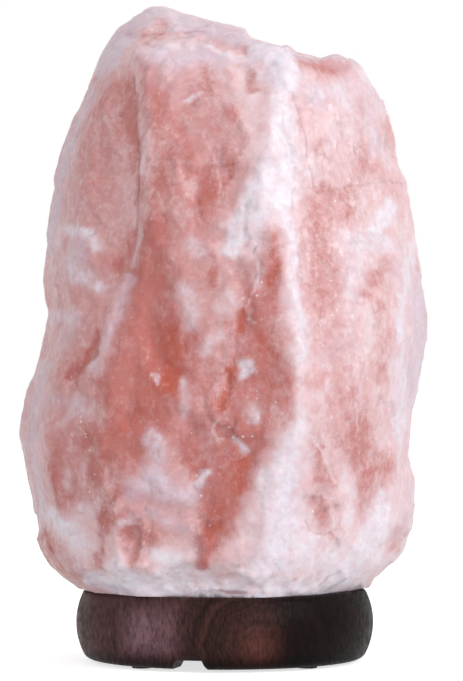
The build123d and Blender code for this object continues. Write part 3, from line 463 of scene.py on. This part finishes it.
PROUD = (
    (0.80, ((112, 46, 5), (146, 50, 4), (172, 48, 4), (196, 43, 4), (214, 48, 4), (230, 60, 4),
            (244, 58, 4))),
    (0.80, ((256, 46, 6), (286, 56, 6), (289, 80, 5))),
    (0.60, ((146, 138, 4), (142, 176, 4))),
    (1.00, ((184, 290, 8), (192, 318, 10), (210, 344, 9))),
    (1.00, ((268, 192, 9), (252, 216, 9), (234, 244, 8))),
    (0.90, ((230, 298, 8), (220, 312, 7))),
    (0.90, ((152, 434, 11), (158, 452, 12), (154, 474, 10))),
    (0.80, ((140, 494, 8), (184, 498, 9))),
    (0.70, ((72, 232, 8), (96, 242, 8), (78, 274, 10))),
    (0.70, ((284, 80, 7), (281, 140, 10), (288, 200, 8), (294, 270, 6), (300, 350, 8))),
    (0.80, ((56, 520, 10), (76, 540, 10))),
    (0.70, ((378, 526, 12), (358, 560, 14))),
    (0.60, ((56, 320, 8), (80, 322, 8))),
    (0.70, ((120, 280, 5), (100, 350, 6))),
    (0.70, ((243, 366, 8), (240, 372, 8))),
)
# where the outline lies lower than the solid's, and where it stands further out
DIP = (
    (0.75, ((254, 34, 6), (268, 38, 6), (282, 41, 5))),
    (1.00, ((298, 46, 7), (310, 50, 8), (322, 52, 6))),
)
SHOULDER = (
    (0.60, ((340, 58, 6), (352, 64, 8))),
    (0.75, ((360, 72, 7), (370, 84, 9), (380, 104, 8))),
    (0.40, ((386, 114, 7), (396, 144, 7))),
)
# where small crystals make the surface rough, and where painted glints sit on them
CRYSTAL = (
    (0.80, ((86, 440, 12), (92, 480, 14), (104, 520, 14), (136, 540, 16))),
    (0.50, ((196, 428, 10), (196, 480, 9), (204, 520, 9), (212, 560, 10))),
    (0.30, ((200, 32, 12), (236, 48, 10))),
    (0.60, ((318, 226, 14), (320, 290, 14))),
    (0.50, ((60, 536, 14), (84, 568, 14), (150, 578, 12), (240, 590, 9))),
    (1.00, ((236, 362, 9), (248, 370, 9))),
    (1.00, ((324, 508, 12), (326, 526, 12))),
    (0.90, ((214, 424, 9), (224, 434, 9))),
    (0.80, ((204, 470, 8), (198, 488, 8), (196, 548, 6))),
    (0.90, ((250, 250, 9), (256, 280, 10), (248, 316, 9))),
    (0.50, ((210, 230, 8), (204, 246, 7))),
    (0.60, ((270, 400, 18), (250, 440, 16), (214, 400, 12))),
    (0.60, ((72, 376, 8), (66, 400, 7), (94, 470, 7))),
    (0.50, ((340, 110, 30), (346, 180, 34), (340, 260, 34), (352, 350, 34), (352, 440, 34))),
)
EDGE_POWER = 2.0                # how sharply a stroke ends


def strokes_at(strokes, column, row):
    """How strongly a set of strokes covers each point, from 0 to 1: half as much at the half width."""
    bare = np.ones(len(column))
    for strength, points in strokes:
        cover = np.zeros(len(column))
        for (x0, y0, w0), (x1, y1, w1) in zip(points, points[1:]):
            run, drop = x1 - x0, y1 - y0
            share = np.clip(((column - x0) * run + (row - y0) * drop) / (run * run + drop * drop), 0, 1)
            away = np.hypot(column - x0 - share * run, row - y0 - share * drop)
            cover = np.maximum(cover, 0.5 ** (away / (w0 + share * (w1 - w0))) ** EDGE_POWER)
        bare *= 1 - strength * cover
    return 1 - bare


# ------------------------------------------------ the rock's shape
BORE_RADIUS = 23.0 * MM
BORE_ROOF = 108.0 * MM
PLUG_HOLE_RADIUS = 3.5 * MM
PLUG_HOLE_DEPTH = 32.0 * MM
INNER_REACH = 42.0 * MM         # the bore and the plug holes lie within this radius, the skin outside
WELD = 0.001 * MM               # points nearer than this are one
CUT_SLACK = 0.0001 * MM
SLACK = 0.01 * MM
INSET = 0.02 * MM               # keeps the rock inside its solid's box
VOXEL = 1.15 * MM
SKIRT = 20.0 * MM               # the skin is drawn out below the seat by this much while it is shaped
SMOOTHING_ROUNDS = 14
SHARE_IN, SHARE_OUT = 0.5, -0.52
STEADYING_ROUNDS = 80           # spreads the change of shape over about 8 mm before it is taken back
STEADIED_SHARE = 0.85
FACET_COUNT = 140
FACET_SEED = 7
FACET_REACH = 24 * MM
FACET_DEPTH = (0.2 * MM, 1.0 * MM)
FACET_TILT = 0.12
FACET_SHUFFLE = (97.3, 61.7, 79.1)      # scatters the tilts of the noise's facets
FACET_BEND = 1.5 * MM           # how far the edges of those facets wander
FACING = (0.25, 0.75)           # the relief fades between these, as a slope turns to the side
FRONT_FADE = (-6 * MM, 10 * MM)         # the photographed side ends over this stretch of y
SEGMENTS = 64

# sizes of the rock's forms
LUMP_SIZE = 26 * MM
WAVE_SIZE = 10 * MM
GRAIN_SIZE = 3.2 * MM
SLAB_SIZE = 13 * MM
FLAKE_SIZE = 5 * MM
# and their heights, in mm
LUMP_HEIGHT = 1.0
WAVE_HEIGHT = 0.4
GRAIN_HEIGHT = 0.15
SLAB_HEIGHT = 1.1
FLAKE_HEIGHT = 0.35
CRYSTAL_GRAIN = 0.4             # what is added to grain and flakes where crystals show
CRYSTAL_FLAKES = 0.7
HOLLOW_DEPTH = 1.2
PROUD_HEIGHT = 0.9
PALE_LINE_HEIGHT = 0.25
DARK_LINE_DEPTH = 0.6
ORANGE_DEPTH = 0.6
DIP_DEPTH = 3.0
SHOULDER_HEIGHT = 1.8
CALM = 0.6                      # the share of the relief that the clear deep salt lacks

# sizes of the noise that makes the strokes' edges wander, and how far, in pixels
BROAD_SIZE = 15 * MM
BROAD_WANDER = 2.0
SMALL_SIZE = 5 * MM
SMALL_WANDER = (4.0, 5.0)
LINE_WANDER = 1.2
# how unevenly they cover
CLOUD_SIZE = 7 * MM
CLOUD_SHARE = 0.3
CLOUD_RANGE = (0.7, 1.2)

# frost round the foot of the sides that the photograph doesn't show
FROST_COVER = 0.85
FROST_TOP = (26 * MM, 56 * MM)
FROST_WANDER = 16 * MM

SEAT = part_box("salt_crystal")[0].z


def field(points, size, octaves=3, stretch=(1, 1, 1), shift=0.0):
    """Noise from about -1 to 1 at each point, whose lumps are about size across."""
    scaled = points / (size * np.array(stretch)) + shift
    return np.array([noise.fractal(p, 1.0, 2.0, octaves, noise_basis="PERLIN_ORIGINAL")
                     for p in scaled.tolist()])


def facets(points, size, stretch=(1, 1, 1), shift=0.0):
    """Flat facets about size across, each tilted its own way: from about -0.5 to 0.5, with steps between."""
    scaled = points / (size * np.array(stretch)) + shift
    middles = np.array([noise.voronoi(p)[1][0] for p in scaled.tolist()])
    tilts = np.sin(middles * FACET_SHUFFLE)
    return ((scaled - middles) * tilts).sum(axis=1)


def rock_skin():
    """The outside of the CAD rock as one closed skin, without its bore, drawn out below the seat."""
    bm = bmesh.new()
    bm.from_mesh(NODES["salt_crystal"].data)
    bmesh.ops.remove_doubles(bm, verts=bm.verts, dist=WELD)

    def is_inner(face):
        middle = face.calc_center_median()
        in_bore = middle.xy.length < INNER_REACH and middle.z < BORE_ROOF + MM
        return in_bore or middle.z < SEAT + SLACK

    bmesh.ops.delete(bm, geom=[f for f in bm.faces if is_inner(f)], context="FACES")
    bmesh.ops.delete(bm, geom=[v for v in bm.verts if not v.link_faces], context="VERTS")
    rim = [e for e in bm.edges if e.is_boundary]
    skirt = bmesh.ops.extrude_edge_only(bm, edges=rim)["geom"]
    bmesh.ops.translate(bm, verts=[g for g in skirt if isinstance(g, bmesh.types.BMVert)],
                        vec=(0, 0, -SKIRT))
    bmesh.ops.holes_fill(bm, edges=[e for e in bm.edges if e.is_boundary], sides=0)
    mesh = bpy.data.meshes.new("skin")
    bm.to_mesh(mesh)
    bm.free()
    return mesh


def remeshed(mesh):
    """The same form as an even net of small faces."""
    holder = bpy.data.objects.new("skin", mesh)
    bpy.context.scene.collection.objects.link(holder)
    net = holder.modifiers.new("net", "REMESH")
    net.mode = "VOXEL"
    net.voxel_size = VOXEL
    graph = bpy.context.evaluated_depsgraph_get()
    fine = bpy.data.meshes.new_from_object(holder.evaluated_get(graph))
    bpy.data.objects.remove(holder)
    bpy.data.meshes.remove(mesh)
    return fine


def points_of(mesh):
    flat = np.empty(len(mesh.vertices) * 3)
    mesh.vertices.foreach_get("co", flat)
    return flat.reshape(-1, 3)


def normals_of(mesh, points):
    mesh.vertices.foreach_set("co", points.ravel())
    mesh.update()
    flat = np.empty(len(mesh.vertices) * 3)
    mesh.vertex_normals.foreach_get("vector", flat)
    return flat.reshape(-1, 3)


class Net:
    """The edges of a mesh, for moving values towards the mean of their neighbours'."""

    def __init__(self, mesh):
        ends = np.empty(len(mesh.edges) * 2, dtype=np.int64)
        mesh.edges.foreach_get("vertices", ends)
        ends = ends.reshape(-1, 2)
        self.here = np.concatenate((ends[:, 0], ends[:, 1]))
        self.there = np.concatenate((ends[:, 1], ends[:, 0]))
        self.size = len(mesh.vertices)
        self.count = np.bincount(self.here, minlength=self.size)

    def relaxed(self, values, shares):
        for share in shares:
            mean = np.stack([np.bincount(self.here, column[self.there], self.size) / self.count
                             for column in values.T], axis=1)
            values = values + share * (mean - values)
        return values

    def smoothed(self, points, rounds):
        """Smooths without shrinking."""
        return self.relaxed(points, (SHARE_IN, SHARE_OUT) * rounds)

    def steadied(self, points, rest):
        """Takes back the broad part of a change of shape, so that the outline stays."""
        drift = self.relaxed(points - rest, (SHARE_IN,) * STEADYING_ROUNDS)
        return points - STEADIED_SHARE * drift


def hewn(points, normals):
    """Flat facets struck off the surface, as a chisel leaves them."""
    rng = np.random.default_rng(FACET_SEED)
    for index in rng.choice(len(points), FACET_COUNT, replace=False):
        way = normals[index] + rng.normal(0, FACET_TILT, 3)
        way /= np.linalg.norm(way)
        middle = points[index] - rng.uniform(*FACET_DEPTH) * normals[index]
        over = np.clip((points - middle) @ way, 0, 2 * FACET_DEPTH[1])
        reach = np.linalg.norm(points - middle, axis=1) / FACET_REACH
        points = points - (over * (1 - smoothstep(0.8, 1.0, reach)))[:, None] * way
    return points


def photo_marks(points):
    """The cover of each kind of mark at each point of the photographed side."""
    column, row = seen_at(points)
    broad = [field(points, BROAD_SIZE, shift=shift) for shift in (0.0, 31.7)]
    small = [field(points, SMALL_SIZE, shift=shift) for shift in (11.3, 43.1)]
    patch_at = (column + BROAD_WANDER * broad[0] + SMALL_WANDER[0] * small[0],
                row + BROAD_WANDER * broad[1] + SMALL_WANDER[1] * small[1])
    line_at = (column + LINE_WANDER * small[0], row + LINE_WANDER * small[1])
    patchy = field(points, CLOUD_SIZE, stretch=(1, 1, 1.8), shift=23.9)
    cloud = np.clip(1.0 + CLOUD_SHARE * patchy, *CLOUD_RANGE)
    front = 1 - smoothstep(*FRONT_FADE, points[:, 1])
    patches = {"rose": ROSE, "white": WHITE, "deep": DEEP, "orange": ORANGE, "lilac": LILAC,
               "hollow": HOLLOW, "proud": PROUD, "crystal": CRYSTAL}
    marks = {name: np.clip(strokes_at(strokes, *patch_at) * cloud, 0, 1) * front
             for name, strokes in patches.items()}
    for name, strokes in (("pale_line", PALE_LINES), ("dark_line", DARK_LINES)):
        marks[name] = strokes_at(strokes, *line_at) * front
    return marks, front


def add_hidden_marks(marks, points, away):
    """Marks the sides that the photograph doesn't show like the one that it does, by noise."""
    tall = (1, 1, 1.8)
    bed = field(points, 40 * MM, 4, stretch=tall, shift=53.0)
    vein = field(points, 26 * MM, 5, stretch=tall, shift=87.0)
    stain = field(points, 30 * MM, 5, stretch=tall, shift=71.0)
    haze = field(points, 24 * MM, 4, stretch=tall, shift=29.0)
    frost = FROST_COVER * (1 - smoothstep(*FROST_TOP, points[:, 2] + FROST_WANDER * vein))
    for name, cover in (
        ("rose", 0.95 * smoothstep(-0.45, 0.3, bed)),
        ("white", np.maximum(0.85 * smoothstep(0.06, 0.5, vein), frost)),
        ("deep", 0.75 * smoothstep(-0.05, 0.55, stain)),
        ("orange", 0.3 * smoothstep(0.3, 0.7, stain)),
        ("lilac", 0.55 * smoothstep(0.0, 0.6, haze)),
        ("crystal", 0.5 * smoothstep(0.1, 0.4, -haze)),
    ):
        marks[name] = np.maximum(marks[name], away * cover)


def shape_rock(mesh):
    """Hews and weathers the skin, and returns its points with the cover of each kind of mark."""
    net = Net(mesh)
    rest = net.smoothed(points_of(mesh), SMOOTHING_ROUNDS)
    points = net.relaxed(hewn(rest, normals_of(mesh, rest)), (SHARE_IN,) * 2)
    normals = normals_of(mesh, points)
    marks, front = photo_marks(rest)
    hollow, proud = marks.pop("hollow"), marks.pop("proud")

    # relief all over, whose broad part is taken back again
    lumps = field(points, LUMP_SIZE, stretch=(1, 1, 1.4), shift=3.1)
    waves = field(points, WAVE_SIZE, stretch=(1, 1, 1.5), shift=7.7)
    grain = field(points, GRAIN_SIZE, shift=17.1)
    bent = points + FACET_BEND * np.stack((waves, lumps, waves), axis=1)
    slabs = facets(bent, SLAB_SIZE, stretch=(1, 1, 1.5), shift=5.3)
    flakes = facets(bent, FLAKE_SIZE, stretch=(1, 1, 1.2), shift=9.1)
    calm = 1 - CALM * marks["deep"] * (1 - marks["crystal"])
    relief = calm * (WAVE_HEIGHT * waves + GRAIN_HEIGHT * grain + SLAB_HEIGHT * slabs
                     + FLAKE_HEIGHT * flakes)
    relief += marks["crystal"] * (CRYSTAL_GRAIN * grain + CRYSTAL_FLAKES * flakes)
    facing = smoothstep(*FACING, np.abs(normals[:, 1]))
    relief *= 0.5 + 0.5 * facing
    points = net.steadied(points + relief[:, None] * MM * normals, rest)

    # what the photograph shows hollow, proud or cut in
    cuts = (PALE_LINE_HEIGHT * marks["pale_line"] - DARK_LINE_DEPTH * marks["dark_line"]
            - ORANGE_DEPTH * marks["orange"])
    swell = LUMP_HEIGHT * lumps - HOLLOW_DEPTH * hollow + PROUD_HEIGHT * proud
    points = points + (cuts + swell * facing)[:, None] * MM * normals
    place = seen_at(rest)
    outline = SHOULDER_HEIGHT * strokes_at(SHOULDER, *place) - DIP_DEPTH * strokes_at(DIP, *place)
    points = points + outline[:, None] * MM * normals * (1, 0, 1)

    add_hidden_marks(marks, rest, 1 - front)
    return points, marks


def cut_to_seat(bm):
    """Cuts the skin flat at the seat, and closes it there with the bore and the plug holes."""
    bmesh.ops.bisect_plane(bm, geom=bm.verts[:] + bm.edges[:] + bm.faces[:], dist=CUT_SLACK,
                           plane_co=(0, 0, SEAT), plane_no=(0, 0, 1), clear_inner=True)
    rim = [e for e in bm.edges if e.is_boundary]
    holes = [(Vector((0, 0, 0)), BORE_RADIUS, BORE_ROOF - SEAT, SEGMENTS)]
    for number in (1, 2, 3):
        low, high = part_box(f"screw_plug_{number}")
        holes.append(((low + high) / 2, PLUG_HOLE_RADIUS, PLUG_HOLE_DEPTH, SEGMENTS // 4))
    for middle, radius, depth, segments in holes:
        place = Matrix.Translation((middle.x, middle.y, SEAT))
        ring = bmesh.ops.create_circle(bm, segments=segments, radius=radius, matrix=place)["verts"]
        mouth = list({e for v in ring for e in v.link_edges})
        rim += mouth
        wall = bmesh.ops.extrude_edge_only(bm, edges=mouth)["geom"]
        top = [g for g in wall if isinstance(g, bmesh.types.BMVert)]
        bmesh.ops.translate(bm, verts=top, vec=(0, 0, depth))
        top_ring = {e for v in top for e in v.link_edges if e.is_boundary}
        bmesh.ops.contextual_create(bm, geom=list(top_ring))
    bmesh.ops.triangle_fill(bm, edges=rim, use_beauty=True, normal=(0, 0, -1))
    bmesh.ops.recalc_face_normals(bm, faces=bm.faces[:])


def make_rock():
    """The rock as the photograph shows it, in place of its plain CAD solid."""
    mesh = remeshed(rock_skin())
    points, marks = shape_rock(mesh)
    low, high = (np.array(corner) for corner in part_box("salt_crystal"))
    low[2] -= 2 * SKIRT         # the skirt stays until the cut
    points = np.clip(points, low + INSET, high - INSET)
    mesh.vertices.foreach_set("co", points.ravel())
    for name, cover in marks.items():
        mesh.attributes.new(name, "FLOAT", "POINT").data.foreach_set("value", cover.astype(np.float32))
    bm = bmesh.new()
    bm.from_mesh(mesh)
    cut_to_seat(bm)
    for face in bm.faces:
        face.smooth = True
    bm.to_mesh(mesh)
    bm.free()
    mesh.name = "salt_rock"
    mesh.materials.clear()
    mesh.materials.append(salt_material())
    rock = bpy.data.objects.new("salt_rock", mesh)
    bpy.context.scene.collection.objects.link(rock)
    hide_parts("salt_crystal")
    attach(rock, "lamp_body")


# ------------------------------------------------ materials
MILKY_SALT = linear(232, 194, 197)
PALE_SALT = linear(238, 216, 222)
WISP = linear(240, 226, 234)
# the colour of painted glints, bright specks that stand in for light caught by crystal faces
PAINTED_GLINT_TONE = linear(255, 240, 236)
BRIGHT_GRAIN = linear(252, 236, 240)
DARK_GRAIN = linear(186, 108, 104)
DARK_CELL = linear(196, 118, 112)
SALT_TINTS = (
    # mark, how far noise shakes its edge, the cover at which it starts and is full, strength, colour
    ("rose", 1.0, 0.0, 1.0, 0.95, linear(208, 146, 145)),
    ("deep", 1.1, 0.04, 1.0, 0.92, linear(185, 101, 93)),
    ("orange", 1.2, 0.1, 0.9, 0.95, linear(188, 86, 64)),
    ("lilac", 0.9, 0.1, 0.9, 0.8, linear(216, 198, 212)),
    ("white", 1.1, 0.04, 1.0, 0.95, linear(240, 236, 247)),
    ("pale_line", 0.8, 0.1, 0.9, 0.55, linear(242, 224, 230)),
    # the open cracks' dark is partly the salt's colour and partly painted shade
    ("dark_line", 0.8, 0.1, 0.9, 0.55, linear(158, 86, 82)),
)
COARSE_CELLS = 0.22             # per mm
FINE_CELLS = 0.6
# how many fine grains carry a painted glint
PAINTED_GLINT_SHARE = 0.07              # of the fine cells

DARK_WOOD = linear(34, 23, 23)
PALE_WOOD = linear(74, 47, 43)
PITH_WOOD = linear(104, 62, 55)
WARM_WOOD = linear(92, 62, 64)
# the painted sheen's colour, a pale patch that stands in for a reflection
PAINTED_SHEEN = linear(138, 104, 112)
# tones that darken the others: painted shade on the right end and the foot, and the fibres' own dark
RIGHT_SHADE_TONE = linear(92, 64, 74)
FOOT_SHADE_TONE = linear(110, 104, 104)
FIBRE_TONE = linear(52, 38, 37)
# places on the wood, in mm: each effect is nothing at the first and full at the second
PITH_X = 13.5                   # where the growth rings centre
PITH_Z = 8.5
PITH_REACH = (18.0, 7.0)
WARM_LEFT = (-8.0, -18.0)
# where the painted sheen lies
SHEEN_RIGHT = (-14.0, -22.0)
SHEEN_LEFT = (-42.0, -30.0)
SHEEN_FOOT = (2.0, 11.0)
SHEEN_TOP = (26.0, 17.0)
# where the painted shade on the right end and the foot lies
SHADE_RIGHT = (10.0, 26.0)
SHADE_FOOT = (8.0, 2.0)
RING_RATE = 0.22                # rings' waves per mm
RING_WARP = 9.0                 # mm


def salt_material():
    """Pink rock salt: milky, a little see-through, with frosted veins and clear salmon hollows."""
    g = new_graph("rock_salt")
    place = g.place()
    tall = g.place((1, 1, 0.75))
    cloud = g.noise(tall, 0.12, 4.0)
    ragged = g.noise(tall, 0.4, 5.0, 0.6, 0.5)
    fine = g.noise(place, 1.4, 3.0, 0.6)
    broken = g.math("ADD", g.times(ragged, 0.75), g.times(fine, 0.25))
    patchy = g.fit(g.noise(place, 0.28, 5.0, 0.7), 0.3, 0.65, 0.6, 0.95)
    crystal = g.attribute("crystal")

    def mark(name, reach, low, high):
        """A mark whose edge is broken up by noise, and runs from low to high cover."""
        raw = g.attribute(name)
        shake = g.times(g.math("SUBTRACT", broken, 0.5), reach, g.fit(raw, 0.0, 0.3))
        return g.fit(g.math("ADD", raw, shake), low, high)

    def cells(scale):
        """Crystal grains: how far a grain's middle is, its chance number, and its tilted face's height."""
        grain = g.add("TexVoronoi", {"Vector": place, "Scale": scale}).outputs
        number = g.add("SeparateColor", {"Color": grain["Color"]}).outputs[0]
        away = g.add("VectorMath", {0: place, 1: grain["Position"]}, operation="SUBTRACT").outputs[0]
        tilt = g.add("VectorMath", {0: grain["Color"], 1: (0.5, 0.5, 0.5)}, operation="SUBTRACT").outputs[0]
        height = g.add("VectorMath", {0: away, 1: tilt}, operation="DOT_PRODUCT").outputs["Value"]
        return grain["Distance"], number, height

    _, coarse_number, coarse_height = cells(COARSE_CELLS)
    distance, number, fine_height = cells(FINE_CELLS)

    colour = g.mix(g.fit(cloud, 0.36, 0.66), MILKY_SALT, PALE_SALT)
    for name, reach, low, high, strength, tone in SALT_TINTS:
        cover = mark(name, reach, low, high)
        if name == "white":
            cover = g.times(cover, patchy)
        colour = g.mix(g.times(cover, strength), colour, tone)
    wisps = g.fit(g.noise(tall, 0.25, 5.0, 0.68, 0.8), 0.54, 0.76, 0.0, 0.2)
    colour = g.mix(wisps, colour, WISP)

    # single grains are brighter or darker, less so where the salt is clear and deep
    milky = g.fit(g.attribute("deep"), 0.2, 0.9, 1.0, 0.35)
    for which, full, strength, tone in (
        (number, 1.0, 0.1, BRIGHT_GRAIN),
        (number, 0.0, 0.1, DARK_GRAIN),
        (coarse_number, 0.0, 0.08, DARK_CELL),
    ):
        colour = g.mix(g.times(g.fit(which, 0.5, full, 0.0, strength), milky), colour, tone)

    # painted glints: a few fine grains in the crystal zones are painted bright, as highlights on crystal
    # faces
    painted_glint_grain = g.math("GREATER_THAN", number, 1 - PAINTED_GLINT_SHARE)
    painted_glint = g.times(painted_glint_grain, g.fit(distance, 0.34, 0.2), g.fit(crystal, 0.2, 0.6, 0.1, 0.6))
    colour = g.mix(painted_glint, colour, PAINTED_GLINT_TONE)

    faces = g.times(fine_height, g.fit(crystal, 0, 0.8, 0.4, 1.8))
    height = g.math("ADD", faces, g.math("ADD", g.times(coarse_height, 0.6), ragged))
    return g.principled({
        "Base Color": colour, "Roughness": g.fit(ragged, 0.3, 0.7, 0.32, 0.52),
        "Normal": g.bump(height, 0.5, 0.5 * MM), "IOR": 1.54, "Specular IOR Level": 0.4,
        "Subsurface Weight": 0.3, "Subsurface Scale": 1.0,
        "Subsurface Radius": (2.2 * MM, 1.1 * MM, 0.9 * MM),
    }, subsurface_method="RANDOM_WALK")


def wood_material():
    """Dark stained wood, turned with its pith lying front to back, right of the middle."""
    g = new_graph("dark_wood")
    place = g.place()
    along = g.add("SeparateXYZ", {"Vector": place}).outputs
    x, z = along[0], along[2]

    # growth rings, and the pith that they surround
    across = g.math("SUBTRACT", x, PITH_X)
    up = g.math("SUBTRACT", z, PITH_Z)
    reach = g.math("SQRT", g.math("ADD", g.times(across, across), g.times(up, up)))
    warp = g.noise(g.place((1, 0.15, 1)), 0.06)
    reach = g.math("ADD", reach, g.times(warp, RING_WARP))
    year = g.noise(g.add("CombineXYZ", {0: g.times(reach, RING_RATE)}).outputs[0], 1.0, 4.0, 0.7)
    colour = g.mix(g.fit(year, 0.36, 0.62), DARK_WOOD, PALE_WOOD)
    colour = g.mix(g.fit(reach, *PITH_REACH, 0.0, 0.8), colour, PITH_WOOD)

    # a warmer left half, with a painted sheen on it: a pale blue-grey patch that stands in for a soft
    # reflection
    streak = g.noise(g.place((1, 1, 0.12)), 0.22, 4.0, 0.6)
    warm = g.times(g.fit(x, *WARM_LEFT), g.fit(streak, 0.36, 0.6, 0.45, 1.0))
    colour = g.mix(g.times(warm, 0.85), colour, WARM_WOOD)
    painted_sheen = g.times(g.fit(x, *SHEEN_RIGHT), g.fit(x, *SHEEN_LEFT))
    painted_sheen = g.times(painted_sheen, g.times(g.fit(z, *SHEEN_FOOT), g.fit(z, *SHEEN_TOP)))
    blotch = g.noise(place, 0.07)
    colour = g.mix(g.times(painted_sheen, g.fit(blotch, 0.3, 0.6, 0.5, 0.95)), colour, PAINTED_SHEEN)

    # painted shade that darkens the right end and the foot, and fine dark fibres
    fibre = g.noise(g.place((1.6, 0.05, 0.5)), 0.7, 4.0, 0.6)
    colour = g.mix(g.fit(x, *SHADE_RIGHT, 0.0, 0.95), colour, RIGHT_SHADE_TONE, "MULTIPLY")
    colour = g.mix(g.fit(z, *SHADE_FOOT, 0.0, 0.85), colour, FOOT_SHADE_TONE, "MULTIPLY")
    colour = g.mix(g.fit(fibre, 0.35, 0.7, 0.0, 0.55), colour, FIBRE_TONE, "MULTIPLY")
    return g.principled({"Base Color": colour, "Roughness": g.fit(fibre, 0.3, 0.7, 0.42, 0.6),
                         "Normal": g.bump(fibre, 0.3, 0.2 * MM), "Specular IOR Level": 0.07})


def rubber_material():
    g = new_graph("pad_rubber")
    speck = g.noise(g.place(), 2.0)
    return g.principled({"Base Color": g.mix(speck, linear(38, 38, 40), linear(56, 56, 58)),
                         "Roughness": 0.85, "Normal": g.bump(speck, 0.3, 0.1 * MM)})


def plastic_material(name, dark, pale, roughness):
    """Moulded plastic with a faint skin texture and uneven gloss."""
    g = new_graph(name)
    skin = g.noise(g.place(), 1.2)
    cloud = g.noise(g.place(), 0.08, 2.0)
    return g.principled({"Base Color": g.mix(cloud, dark, pale),
                         "Roughness": g.fit(cloud, 0.3, 0.7, roughness, roughness + 0.12),
                         "Normal": g.bump(skin, 0.12, 0.05 * MM)})


def metal_material(name, dark, pale, roughness):
    """Metal with a fine grain and slight tarnish."""
    g = new_graph(name)
    grain = g.noise(g.place(), 3.0)
    tarnish = g.noise(g.place(), 0.12, 4.0)
    return g.principled({"Base Color": g.mix(g.fit(tarnish, 0.35, 0.7), pale, dark), "Metallic": 1.0,
                         "Roughness": g.fit(tarnish, 0.3, 0.7, roughness, roughness + 0.15),
                         "Normal": g.bump(grain, 0.1, 0.03 * MM)})


def glass_material():
    g = new_graph("clear_glass")
    smear = g.noise(g.place(), 0.15)
    return g.principled({"Base Color": linear(250, 252, 252), "IOR": 1.5, "Transmission Weight": 1.0,
                         "Roughness": g.fit(smear, 0.4, 0.7, 0.0, 0.04)})


def ceramic_material():
    g = new_graph("core_ceramic")
    speck = g.noise(g.place(), 1.5, 4.0)
    return g.principled({"Base Color": g.mix(speck, linear(222, 214, 200), linear(238, 234, 226)),
                         "Roughness": 0.6, "Normal": g.bump(speck, 0.15, 0.05 * MM)})


def dress_nodes():
    """Materials for the CAD nodes that stay."""
    def numbered(name, count):
        return [f"{name}_{number}" for number in range(1, count + 1)]

    dress(wood_material(), "wooden_base")
    dress(rubber_material(), *numbered("foot_pad", 4))
    dress(plastic_material("nylon", linear(214, 210, 198), linear(230, 228, 220), 0.5),
          *numbered("screw_plug", 3))
    dress(plastic_material("fitting_plastic", linear(22, 22, 24), linear(34, 34, 36), 0.3),
          "holder_sleeve", "holder_cap", "lock_ring")
    dress(plastic_material("bush_plastic", linear(44, 44, 46), linear(58, 58, 60), 0.5),
          "cord_bush", "cord_grip_screw")
    dress(plastic_material("insulator_glass", linear(14, 13, 16), linear(22, 20, 24), 0.12), "bulb_insulator")
    dress(metal_material("zinc_steel", linear(150, 148, 142), linear(188, 188, 186), 0.3),
          "clip_bracket", *numbered("fixing_screw", 3))
    dress(metal_material("spring_steel", linear(140, 140, 142), linear(190, 190, 192), 0.18),
          "spring_clip_left", "spring_clip_right")
    dress(metal_material("contact_brass", linear(168, 128, 62), linear(214, 178, 104), 0.25),
          "holder_shell", "centre_contact", "centre_terminal", "shell_terminal", "contact_rivet",
          *numbered("terminal_screw", 2))
    dress(metal_material("bulb_metal", linear(170, 166, 154), linear(206, 204, 196), 0.25), "bulb_cap")
    dress(metal_material("solder", linear(140, 142, 146), linear(184, 186, 190), 0.35), "bulb_tip")
    dress(metal_material("lead_wire", linear(92, 90, 88), linear(140, 138, 134), 0.3),
          "bulb_supports", "bulb_filament", *numbered("bulb_lead", 2))
    dress(ceramic_material(), "holder_core")
    dress(glass_material(), "bulb_glass", "bulb_stem")


# ------------------------------------------------ floor, backdrop and light
FLOOR_SIZE = 6.0
FLOOR_GREY = (0.8, 0.8, 0.8, 1)
FLOOR_GLOW = 0.7                # lifts the lit floor to white for the camera
WORLD_LIGHT = 0.38
WHITE_LIGHT = (1, 1, 1, 1)
LAMPS = (
    # name, where it stands, where it points, width, watts
    ("key", (1.5, -1.15, 1.0), (0.02, 0, 0.12), 0.55, 20.5),
    ("fill", (-1.0, -1.8, 0.6), (0, 0, 0.12), 1.2, 4.8),
    ("side", (-1.4, -0.3, 0.9), (0, 0, 0.16), 0.6, 2.8),
    ("low", (0.5, -1.6, 0.05), (0.01, 0, 0.03), 0.8, 4.8),
    ("top", (0.2, -0.1, 1.6), (0, 0, 0.15), 0.9, 3.6),
)


def make_stage():
    """A pale floor that keeps the lamp's soft shadow, under a plain white world."""
    g = new_graph("floor")
    pale = g.add("BsdfDiffuse", {"Color": FLOOR_GREY}).outputs[0]
    glow = g.add("Emission", {"Color": WHITE_LIGHT, "Strength": FLOOR_GLOW}).outputs[0]
    lifted = g.add("AddShader", {0: pale, 1: glow}).outputs[0]
    material = g.finish(g.add("MixShader", {0: g.shown(), 1: pale, 2: lifted}).outputs[0])
    bpy.ops.mesh.primitive_plane_add(size=FLOOR_SIZE)
    floor = bpy.context.object
    floor.name = "floor"
    floor.data.materials.append(material)

    world = bpy.data.worlds.new("world")
    bpy.context.scene.world = world
    g = Graph(world)
    light = g.add("Background", {"Color": WHITE_LIGHT, "Strength": WORLD_LIGHT}).outputs[0]
    white = g.add("Background", {"Color": WHITE_LIGHT, "Strength": 1.0}).outputs[0]
    g.finish(g.add("MixShader", {0: g.shown(), 1: light, 2: white}).outputs[0], "OutputWorld")


def make_lights():
    for name, stand, aim, width, watts in LAMPS:
        data = bpy.data.lights.new(name, "AREA")
        data.size = width
        data.energy = watts
        lamp = bpy.data.objects.new(name, data)
        lamp.location = stand
        lamp.rotation_euler = (Vector(aim) - Vector(stand)).to_track_quat("-Z", "Y").to_euler()
        bpy.context.scene.collection.objects.link(lamp)


bpy.context.scene.view_settings.view_transform = "Standard"
make_camera()
make_stage()
make_lights()
dress_nodes()
make_rock()
